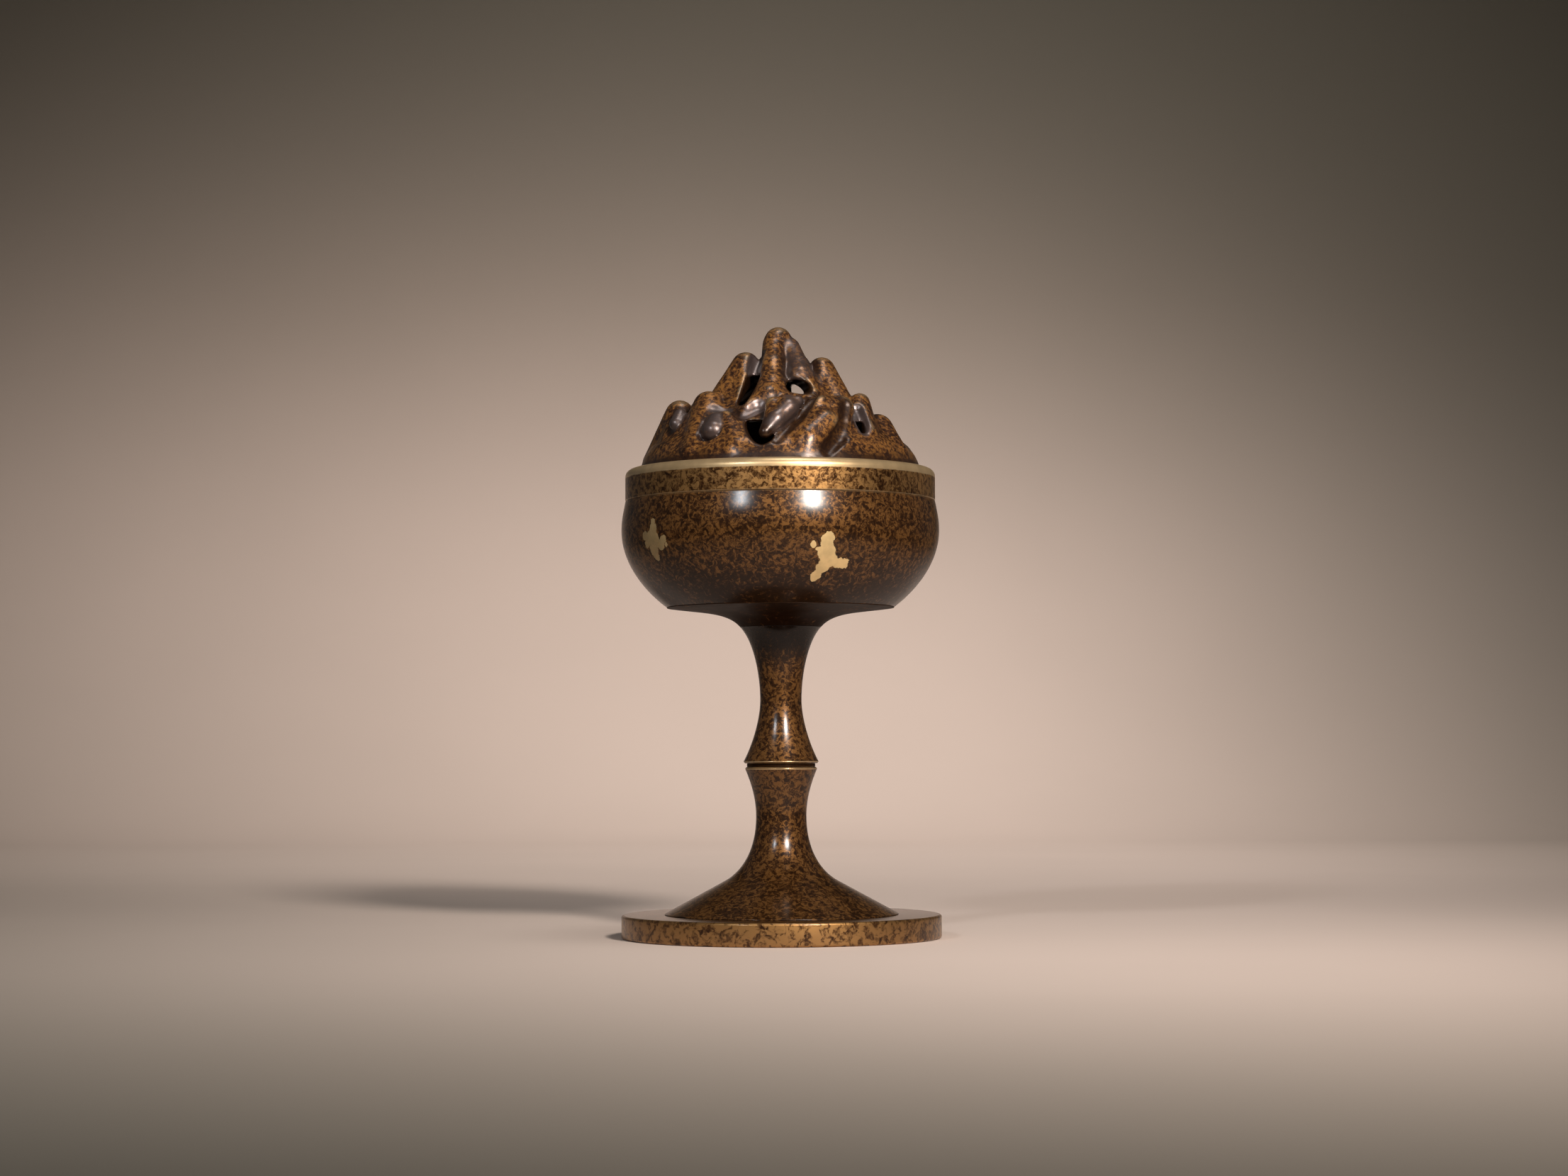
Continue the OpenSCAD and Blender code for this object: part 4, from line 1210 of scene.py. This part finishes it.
def rim_bronze():
    mix = BronzeMixer("rim_bronze", 0.0012, 0.55, softness=0.15, tones=bright_tones(),
                      metal=(0.7, 0.9), rough=(0.46, 0.5))
    lip = ease(noise(mix.place, 240.0) * LIP_WAVER + mix.z, *LIP_BAND)
    shine = mix.colours.polished
    gleam = blend(ease(noise(mix.place, 260.0, 3.0), 0.3, 0.7), rgb(shine), rgb(shine, 0.85))
    mix.lay(lip, gleam, metal=0.8, rough=0.38)
    mouth = ease(mix.r, *MOUTH_BAND)
    mix.lay(mouth, rgb(mix.colours.patina_brown, 0.5), metal=0.4, rough=0.45)
    mix.rub(0.5)
    return mix.finish(0.4)


def base_bronze():
    mix = BronzeMixer("base_bronze", 0.0016, 0.68, softness=0.14, tones=bright_tones(),
                      metal=(0.6, 0.9), rough=(0.36, 0.42))
    c = mix.colours
    top = ease(mix.z, *BASE_TOP_BAND) * ease(mix.r, *BASE_TOP_EDGE)
    marks = use("mottled_patina", {
        "Vector": mix.place, "Mark Size": 0.0013, "Golden Share": 0.4, "Softness": 0.07,
        "Dark": rgb(c.patina_dark), "Brown": rgb(c.patina_brown), "Golden": rgb(c.patina_gold)})
    mix.lay(top, marks["Colour"], metal=0.45, rough=0.27)
    under = ease(mix.z, *BASE_UNDER_BAND) * ease(mix.r, *BASE_UNDER_EDGE)
    rings = use("turning_rings", {"Vector": mix.place, "Ring Spacing": 0.0007})["Height"]
    mix.lay(under, blend(rings, rgb(c.patina_brown), rgb(c.patina_gold, 0.6)), metal=0.7, rough=0.4)
    mix.rub(0.6)
    return mix.finish(0.5)


def lid_bronze():
    c = bpy.context.scene.censer_colours
    mix = BronzeMixer("lid_bronze", 0.00085, 0.45, softness=0.09, curl=0.7, drift=0.36,
                      tones=(c.lid_dark, c.lid_brown, c.lid_gold), metal=(0.3, 0.5),
                      rough=(0.34, 0.4))
    cloud = noise(mix.place, 120.0, 3.0, 0.6)
    shade, gloss = attribute(mix.place, "shade"), attribute(mix.place, "gloss")
    # Painted shade: the lid's dark patina is laid again in its valleys, cuts, hollow and along the
    # rim, as the shade attribute and a cloud say.
    valley = ease(cloud * 0.7 + shade, 0.4, 1.05, 0.0, 0.9)
    mix.lay(valley, rgb(c.lid_dark), metal=0.4, rough=0.36)
    veil = blend(ease(cloud, 0.3, 0.7), rgb(c.lid_gloss), rgb(c.lid_gloss, 0.7))
    mix.lay(gloss * ease(cloud, 0.3, 0.7, 0.6, 0.9), veil, metal=0.85, rough=0.4)
    mix.rub(0.25)
    return mix.finish(ease(gloss, 0.0, 1.0, 0.75, 1.0), 0.33, 0.00025)


def seat_bronze():
    mix = BronzeMixer("seat_bronze", 0.0015, 0.3)
    mix.rub(0.7)
    return mix.finish(0.3)


def turned_metal(name, colour, rough, spacing):
    """Plain turned metal with tool rings and a little tarnish."""
    material, shader, place = start_material(name)
    tarnish = ease(noise(place, 130.0, 4.0, 0.6), 0.4, 0.75)
    skin = use("cast_skin", {"Vector": place, "Pits": 0.2})
    rings = use("turning_rings", {"Vector": place, "Ring Spacing": spacing})["Height"]
    edge = use("rubbed_edges", {"Vector": place, "Wear": attribute(place, "wear"),
                                "Amount": 0.7})["Mask"]
    base = blend(tarnish, rgb(colour), rgb(colour, 0.55))
    feed(shader, {"Base Color": blend(edge, base, rgb(colour, 1.25)), "Metallic": 0.95,
                  "Roughness": tarnish * 0.14 + rough + skin["Gloss Change"],
                  "Normal": bump(rings * 0.6 + skin["Height"], 0.3, 0.0001)})
    return material


# Painted light on the paper around the object opens like a fan from a place in front of it: the
# fan's middle on the floor, how that moves with depth and with height, and its half widths to the
# left and right in the fan, then towards the camera and upwards from where it starts to fade to
# painted shade.
FAN_START = -1.0
FAN_MIDDLE = 0.16
FAN_LEAN = (0.1, 0.2)
FADE_START = (-0.06, 0.14)
PAINTED_LIGHT_REACH = (0.45, 0.22, 0.38, 0.28)


def studio_paper():
    """Paper with painted light, palest behind and beside the object, and painted shade further
    away.
    """
    material, shader, place = start_material("studio_paper")
    colours = bpy.context.scene.censer_colours
    x, y, z = split(place)
    fan = x / calc("MAXIMUM", y - FAN_START, 0.2)
    across = fan - (FAN_MIDDLE - y * FAN_LEAN[0] - z * FAN_LEAN[1])
    ways = (calc("MINIMUM", across, 0.0), calc("MAXIMUM", across, 0.0),
            calc("MINIMUM", y - FADE_START[0], 0.0), calc("MAXIMUM", z - FADE_START[1], 0.0))
    far = 0.0
    for way, reach in zip(ways, PAINTED_LIGHT_REACH):
        share = way / reach
        far = share * share + far
    # Painted light: the paper is painted palest where the light falls, darkening into painted shade
    # further away.
    painted_light_pool = calc("EXPONENT", far * -1.0)
    cloud = ease(noise(place, 6.0, 3.0), 0.3, 0.7, 0.97, 1.0)
    fibre = noise(place, 900.0, 3.0)
    feed(shader, {"Base Color": blend(painted_light_pool * cloud, rgb(colours.paper_edge), rgb(colours.floor)),
                  "Roughness": 0.8, "Normal": bump(fibre, 0.1, 0.0002)})
    return material


# Properties.

def length_property(name, text, default, low, high):
    return FloatProperty(name=name, description=text, default=default, min=low, max=high,
                         precision=5, subtype="DISTANCE", unit="LENGTH")


def colour_property(name, text, default):
    return FloatVectorProperty(name=name, description=text, default=default, subtype="COLOR",
                               size=3, min=0, max=1)


class CenserSizes(PropertyGroup):
    edge_round: length_property("Edge round", "Rounding of turned corners",
                                0.00022, 0.0001, 0.0005)
    segments: IntProperty(name="Segments", description="Facets around a turned piece",
                          default=192, min=48, max=384)
    sculpt_step: length_property("Sculpt step", "Grain of the lid's clay", 0.00062, 0.0005, 0.002)
    cast_wobble: length_property("Cast unevenness", "Height of the lid's hand-cast unevenness",
                                 0.0001, 0.0, 0.001)
    thread_pitch: length_property("Thread pitch", "Pitch of the tie rod's thread",
                                  0.001, 0.0005, 0.002)


class CenserColours(PropertyGroup):
    mark_scale: FloatProperty(name="Mark scale", description="Scale of the golden marks",
                              default=1.0, min=0.3, max=3.0, subtype="FACTOR")
    patina_dark: colour_property("Dark patina", "Ground of the mottled finish",
                                 (0.015, 0.0055, 0.0013))
    patina_brown: colour_property("Brown patina", "Halo of the marks", (0.038, 0.0145, 0.004))
    patina_gold: colour_property("Golden marks", "Marks on belly and stem", (0.15, 0.066, 0.018))
    bright_gold: colour_property("Bright marks", "Marks on rim and base", (0.33, 0.175, 0.06))
    # The lid's dark patina; it is also laid as painted shade in the lid's valleys, cuts and hollow.
    lid_dark: colour_property("Lid valleys", "Dark patina of the lid", (0.02, 0.0068, 0.0022))
    lid_brown: colour_property("Lid brown", "Halo of the lid's marks", (0.075, 0.027, 0.009))
    lid_gold: colour_property("Lid marks", "Golden marks of the lid", (0.28, 0.118, 0.026))
    lid_gloss: colour_property("Lid gloss", "Smooth faces of claw, nubs and scoops",
                               (0.15, 0.105, 0.095))
    polished: colour_property("Polished bronze", "Lip of the rim and rubbed edges",
                              (0.7, 0.49, 0.26))
    splash_gold: colour_property("Splash gold", "Gold splashes on the belly", (0.8, 0.58, 0.28))
    copper: colour_property("Copper", "Ash liner", (0.62, 0.3, 0.18))
    brass: colour_property("Brass", "Incense dish", (0.74, 0.52, 0.2))
    steel: colour_property("Zinc steel", "Rod, nut and washers", (0.56, 0.57, 0.58))
    # The paper's own colour, where the painted light is fullest.
    floor: colour_property("Studio paper", "Floor and backdrop around the object",
                           (0.72, 0.58, 0.505))
    # Painted shade of the paper, away from the painted light.
    paper_edge: colour_property("Paper edge", "Floor and backdrop further away",
                                (0.14, 0.125, 0.095))


# Operators. The sharper corners of belly and saddle keep the crease between them a line.
CREASE_SHARPNESS = 4.0


class CENSER_OT_foot(Operator):
    """Turns the base disc and both halves of the stem"""
    bl_idname = "censer.foot"
    bl_label = "Foot and Stem"

    def execute(self, context):
        stem = stem_bronze()
        turn_piece("base_disc", base_disc_line(), base_bronze(), "stand")
        turn_piece("lower_stem", lower_stem_line(), stem, "stand")
        turn_piece("upper_stem", upper_stem_line(), stem, "stand")
        return {"FINISHED"}


class CENSER_OT_bowl(Operator):
    """Turns the belly, the saddle under it, the rim band and the ring in the stem's groove"""
    bl_idname = "censer.bowl"
    bl_label = "Bowl and Rim"

    def execute(self, context):
        saddle = saddle_bronze()
        turn_piece("node_spacer", node_spacer_line(), saddle, "stand")
        turn_piece("bowl_saddle", bowl_saddle_line(), saddle, "stand",
                   CREASE_SHARPNESS)
        turn_piece("bowl_shell", bowl_shell_line(), belly_bronze(), "stand",
                   CREASE_SHARPNESS)
        turn_piece("rim_band", rim_band_line(), rim_bronze(), "stand")
        return {"FINISHED"}


FEWEST_FACES = 10000
# Rounds of polishing the lid's skin, and of evening it out to tell ridges from valleys.
POLISH_ROUNDS = 2
VALLEY_ROUNDS = 24
# Where ridges start to be worn and how soon they are bare, the painted shade along the rim, and how
# far the skin of the hollow reaches, which is painted in full shade, in millimetres.
WEAR_START = 0.12
WEAR_SPAN = 0.4
RIM_SHADE = (1.0, 0.6, 2.4)
HOLLOW_SKIN = 0.7


class CENSER_OT_lid(Operator):
    """Sculpts the pierced mountain and turns the ring that seats it"""
    bl_idname = "censer.lid"
    bl_label = "Mountain Lid"

    def execute(self, context):
        sizes = context.scene.censer_sizes
        step = sizes.sculpt_step / MM * 1.0
        block = sculpt_lid(step, sizes.cast_wobble / MM)
        points, faces = skin_block(block)
        if len(faces) < FEWEST_FACES:
            raise RuntimeError("the lid's skin is not closed")
        points = polish_skin(block, points, faces, POLISH_ROUNDS)
        mesh = bpy.data.meshes.new("lid_mountain_form")
        mesh.from_pydata(((points + (0, 0, RIM_Z)) * MM).tolist(), [], faces.tolist())
        for label, values in self.marks(block, points, faces).items():
            values = values.astype(np.float32)
            mesh.attributes.new(label, "FLOAT", "POINT").data.foreach_set("value", values)
        mesh.shade_smooth()
        mesh.materials.append(lid_bronze())
        settle(mesh, "lid_mountain", "lid")
        turn_piece("lid_seat_ring", lid_seat_ring_line(), seat_bronze(), "lid")
        return {"FINISHED"}

    def marks(self, block, points, faces):
        """Where the lid is worn and glossy, and where shade is painted on it."""
        normal = skin_normals(points, faces)
        hollow = hollowness(points, faces, normal, VALLEY_ROUNDS)
        gloss = smooth_faces(points)
        # Painted shade: dark along the rim, in cuts, moats and openings, and in crowded valleys.
        foot = tinge(points[:, 2], *RIM_SHADE)
        shade = np.max((near_cut(points), crowding(block, points, normal), foot), axis=0)
        wear = np.clip((-hollow - WEAR_START) / WEAR_SPAN, 0, 1) * (1 - shade) * (1 - gloss)
        # Painted shade: the inside of the hollow is fully dark.
        inner = lathe(points, HOLLOW, HOLLOW_SLOPE) < HOLLOW_SKIN
        shade[inner] = 1.0
        wear[inner] = 0.0
        return {"wear": wear, "shade": shade, "gloss": gloss}


class CENSER_OT_inside(Operator):
    """Turns the copper ash liner and the brass incense dish"""
    bl_idname = "censer.inside"
    bl_label = "Liner and Dish"

    def execute(self, context):
        colours = context.scene.censer_colours
        copper = turned_metal("liner_copper", colours.copper, rough=0.32, spacing=0.0009)
        brass = turned_metal("dish_brass", colours.brass, rough=0.26, spacing=0.0006)
        turn_piece("ash_liner", ash_liner_line(), copper, "liner")
        turn_piece("incense_dish", incense_dish_line(), brass, "liner")
        return {"FINISHED"}


def ring(angles, radius, height):
    """A ring of points about the axis, whose radius and height may change on its way round."""
    return [(r * math.cos(a), r * math.sin(a), z)
            for a, r, z in np.broadcast(angles, radius, height)]


def ring_skin(rings, closed):
    """A closed skin through rings of points, joined end to end or capped at single points."""
    count = len(rings[0])
    points = [tuple(p) for ring in rings for p in ring]
    faces = []
    for i in range(len(rings) if closed else len(rings) - 1):
        a, b = i * count, ((i + 1) % len(rings)) * count
        for j in range(count):
            k = (j + 1) % count
            faces.append((a + j, a + k, b + k, b + j))
    if not closed:
        for start, flip in ((0, True), ((len(rings) - 1) * count, False)):
            centre = np.mean(points[start:start + count], axis=0)
            points.append(tuple(centre))
            for j in range(count):
                corner = (start + j, start + (j + 1) % count, len(points) - 1)
                faces.append(corner[::-1] if flip else corner)
    return points, faces


# The rod's thread: its depth, its length at the foot and at the top, and the step of its rings.
THREAD_DEPTH = 0.5
FOOT_THREAD = 12.5
TOP_THREAD = 5.5
THREAD_STEP = 0.1
# The nut's chamfer: where it starts, its slope and the size of the bore's own.
NUT_CHAMFER_R = 5.0
NUT_CHAMFER_SLOPE = 0.55
BORE_CHAMFER = 0.35


class CENSER_OT_hardware(Operator):
    """Cuts the threaded tie rod and the chamfered nut, and finishes the washers"""
    bl_idname = "censer.hardware"
    bl_label = "Tie Rod and Nut"

    def execute(self, context):
        colours, sizes = context.scene.censer_colours, context.scene.censer_sizes
        steel = turned_metal("zinc_steel", colours.steel, rough=0.34, spacing=0.0005)
        for name, skin in (("tie_rod", self.rod(sizes.thread_pitch / MM)),
                           ("base_nut", self.nut())):
            mesh = bpy.data.meshes.new(name + "_form")
            mesh.from_pydata([tuple(v * MM for v in p) for p in skin[0]], [], skin[1])
            face_outwards(mesh)
            if name == "tie_rod":
                mesh.shade_smooth()
            else:
                mesh.shade_flat()
            mesh.materials.append(steel)
            settle(mesh, name, "stand")
        for name in ("base_washer", "lock_washer"):
            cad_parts[name].data.materials.clear()
            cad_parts[name].data.materials.append(steel)
        return {"FINISHED"}

    def rod(self, pitch):
        """The tie rod, with fine rings where its thread is and coarse ones between."""
        low, high = NUT_Z, CREASE_Z - END_GAP
        heights = np.concatenate([np.arange(low + 0.4, low + 13, THREAD_STEP),
                                  np.linspace(low + 14, high - 6, 20),
                                  np.arange(high - 5, high - 0.4, THREAD_STEP)])
        angles = np.radians(np.arange(0, 360, 7.5))
        rings = [ring(angles, ROD_R - THREAD_DEPTH, low)]
        for z in heights:
            threaded = np.clip(max(low + FOOT_THREAD - z, z - high + TOP_THREAD), 0, 1)
            wave = np.abs(((z / pitch - angles / (2 * math.pi)) % 1.0) * 2 - 1)
            cut = threaded * (1 - np.clip(wave * 1.25, 0, 1))
            rings.append(ring(angles, ROD_R - THREAD_DEPTH * cut, z))
        rings.append(ring(angles, ROD_R - THREAD_DEPTH, high))
        return ring_skin(rings, closed=False)

    def nut(self):
        """The hexagon nut, from its bore out over the lower face and back over the upper one."""
        angles = np.radians(np.arange(0, 360, 5))
        sixth = math.radians(60)
        flats = NUT_FLATS / 2 / np.cos(angles % sixth - sixth / 2)
        bore, mouth = ROD_R + FIT, ROD_R + FIT + BORE_CHAMFER
        drop = np.clip((flats - NUT_CHAMFER_R) * NUT_CHAMFER_SLOPE, 0.02, None)
        inner = np.minimum(flats, NUT_CHAMFER_R) - 0.02
        line = ((bore, BORE_CHAMFER), (mouth, 0), (inner, 0), (flats, drop), (flats, NUT_H - drop),
                (inner, NUT_H), (mouth, NUT_H), (bore, NUT_H - BORE_CHAMFER))
        return ring_skin([ring(angles, r, NUT_Z + h) for r, h in line], closed=True)


# Studio.

# Camera: distance in front of the axis, height, sideways place, upward pitch, roll and lens.
CAMERA = {"away": 0.984, "height": 0.060, "side": 0.0011, "pitch": 2.873, "roll": -0.2,
          "lens": 72.0}
# Lamps: azimuth from the front, elevation, distance, width, height, spread, power and colour.
LAMPS = {
    "key_softbox": (24, 25, 1.25, 0.21, 0.19, 60, 2.15, (1.0, 0.93, 0.86)),
    "fill_softbox": (-29, 25, 1.25, 0.13, 0.1, 60, 0.36, (0.9, 0.95, 1.0)),
    "top_softbox": (40, 78, 1.2, 0.5, 0.4, 120, 1.5, (1.0, 0.98, 0.95)),
}
LAMP_TARGET = Vector((0, 0, 0.125))
# Wash on the backdrop: its place and target, then its sides, spread, power and colour.
WASH = (Vector((0.05, 0.3, 1.2)), Vector((0.05, 1.12, 0.05)), (0.5, 0.3), 80, 2.5,
        (1.0, 0.95, 0.9))
AIR_COLOUR = (0.8, 0.79, 0.78)
AIR_STRENGTH = 0.08
# Paper sweep: half its width, its front edge, the start and the radius of its bend, and its top.
SWEEP = {"half": 1.0, "front": -1.6, "bend": 0.95, "radius": 0.4, "top": 1.5}


class CENSER_OT_stage(Operator):
    """Sets the pale paper sweep, the soft lamps and the camera"""
    bl_idname = "censer.stage"
    bl_label = "Studio"

    def execute(self, context):
        self.sweep()
        for name, (azimuth, elevation, far, wide, tall, *glow) in LAMPS.items():
            e = math.radians(elevation)
            place = LAMP_TARGET + Vector(polar(azimuth, far * math.cos(e), far * math.sin(e)))
            self.lamp(name, place, LAMP_TARGET, (wide, tall), *glow)
        self.lamp("backdrop_wash", *WASH)
        world = bpy.data.worlds.new("studio_air")
        world.use_nodes = True
        feed(world.node_tree.nodes["Background"], {
            "Color": rgb(AIR_COLOUR), "Strength": AIR_STRENGTH})
        context.scene.world = world
        context.scene.view_settings.view_transform = "Standard"
        self.camera(context.scene)
        return {"FINISHED"}

    def sweep(self):
        bend, radius = SWEEP["bend"], SWEEP["radius"]
        line = [(SWEEP["front"], 0),
                *arc(bend, radius, radius, -90, 0, 24),
                (bend + radius, SWEEP["top"])]
        points = [(x, y, z) for y, z in line for x in (-SWEEP["half"], SWEEP["half"])]
        faces = [(2 * i, 2 * i + 1, 2 * i + 3, 2 * i + 2) for i in range(len(line) - 1)]
        mesh = bpy.data.meshes.new("paper_sweep")
        mesh.from_pydata(points, [], faces)
        mesh.shade_smooth()
        mesh.materials.append(studio_paper())
        new_piece("paper_sweep", mesh)

    def lamp(self, name, place, target, sides, spread, power, tint):
        light = bpy.data.lights.new(name, "AREA")
        light.shape = "ELLIPSE"
        light.size, light.size_y = sides
        light.spread = math.radians(spread)
        light.energy = power
        light.color = tint
        lamp = bpy.data.objects.new(name, light)
        facing = (target - place).to_track_quat("-Z", "Y").to_matrix().to_4x4()
        lamp.matrix_world = Matrix.Translation(place) @ facing
        lamp.visible_camera = False
        bpy.context.scene.collection.objects.link(lamp)

    def camera(self, scene):
        lens = bpy.data.cameras.new("camera")
        lens.lens, lens.sensor_width = CAMERA["lens"], 36.0
        lens.clip_start, lens.clip_end = 0.01, 20.0
        camera = bpy.data.objects.new("camera", lens)
        pitch = Matrix.Rotation(math.radians(90 + CAMERA["pitch"]), 4, "X")
        roll = Matrix.Rotation(math.radians(CAMERA["roll"]), 4, "Z")
        place = (CAMERA["side"], -CAMERA["away"], CAMERA["height"])
        camera.matrix_world = Matrix.Translation(place) @ pitch @ roll
        scene.collection.objects.link(camera)
        scene.camera = camera


OPERATORS = (CENSER_OT_foot, CENSER_OT_bowl, CENSER_OT_lid, CENSER_OT_inside, CENSER_OT_hardware,
             CENSER_OT_stage)


class CENSER_PT_panel(Panel):
    """Lists the pieces of the censer and their settings"""
    bl_label = "Hill Censer"
    bl_idname = "CENSER_PT_panel"
    bl_space_type = "VIEW_3D"
    bl_region_type = "UI"
    bl_category = "Censer"

    def draw(self, context):
        for group in (context.scene.censer_sizes, context.scene.censer_colours):
            box = self.layout.box()
            for name in group.__annotations__:
                box.prop(group, name)
        for operator in OPERATORS:
            self.layout.operator(operator.bl_idname)


CLASSES = (CenserSizes, CenserColours, *OPERATORS, CENSER_PT_panel)


def register():
    for cls in CLASSES:
        bpy.utils.register_class(cls)
    bpy.types.Scene.censer_sizes = PointerProperty(type=CenserSizes)
    bpy.types.Scene.censer_colours = PointerProperty(type=CenserColours)


def unregister():
    del bpy.types.Scene.censer_colours
    del bpy.types.Scene.censer_sizes
    for cls in reversed(CLASSES):
        bpy.utils.unregister_class(cls)


def main():
    register()
    bpy.ops.censer.foot()
    bpy.ops.censer.bowl()
    bpy.ops.censer.lid()
    bpy.ops.censer.inside()
    bpy.ops.censer.hardware()
    bpy.ops.censer.stage()


if __name__ == "__main__":
    main()
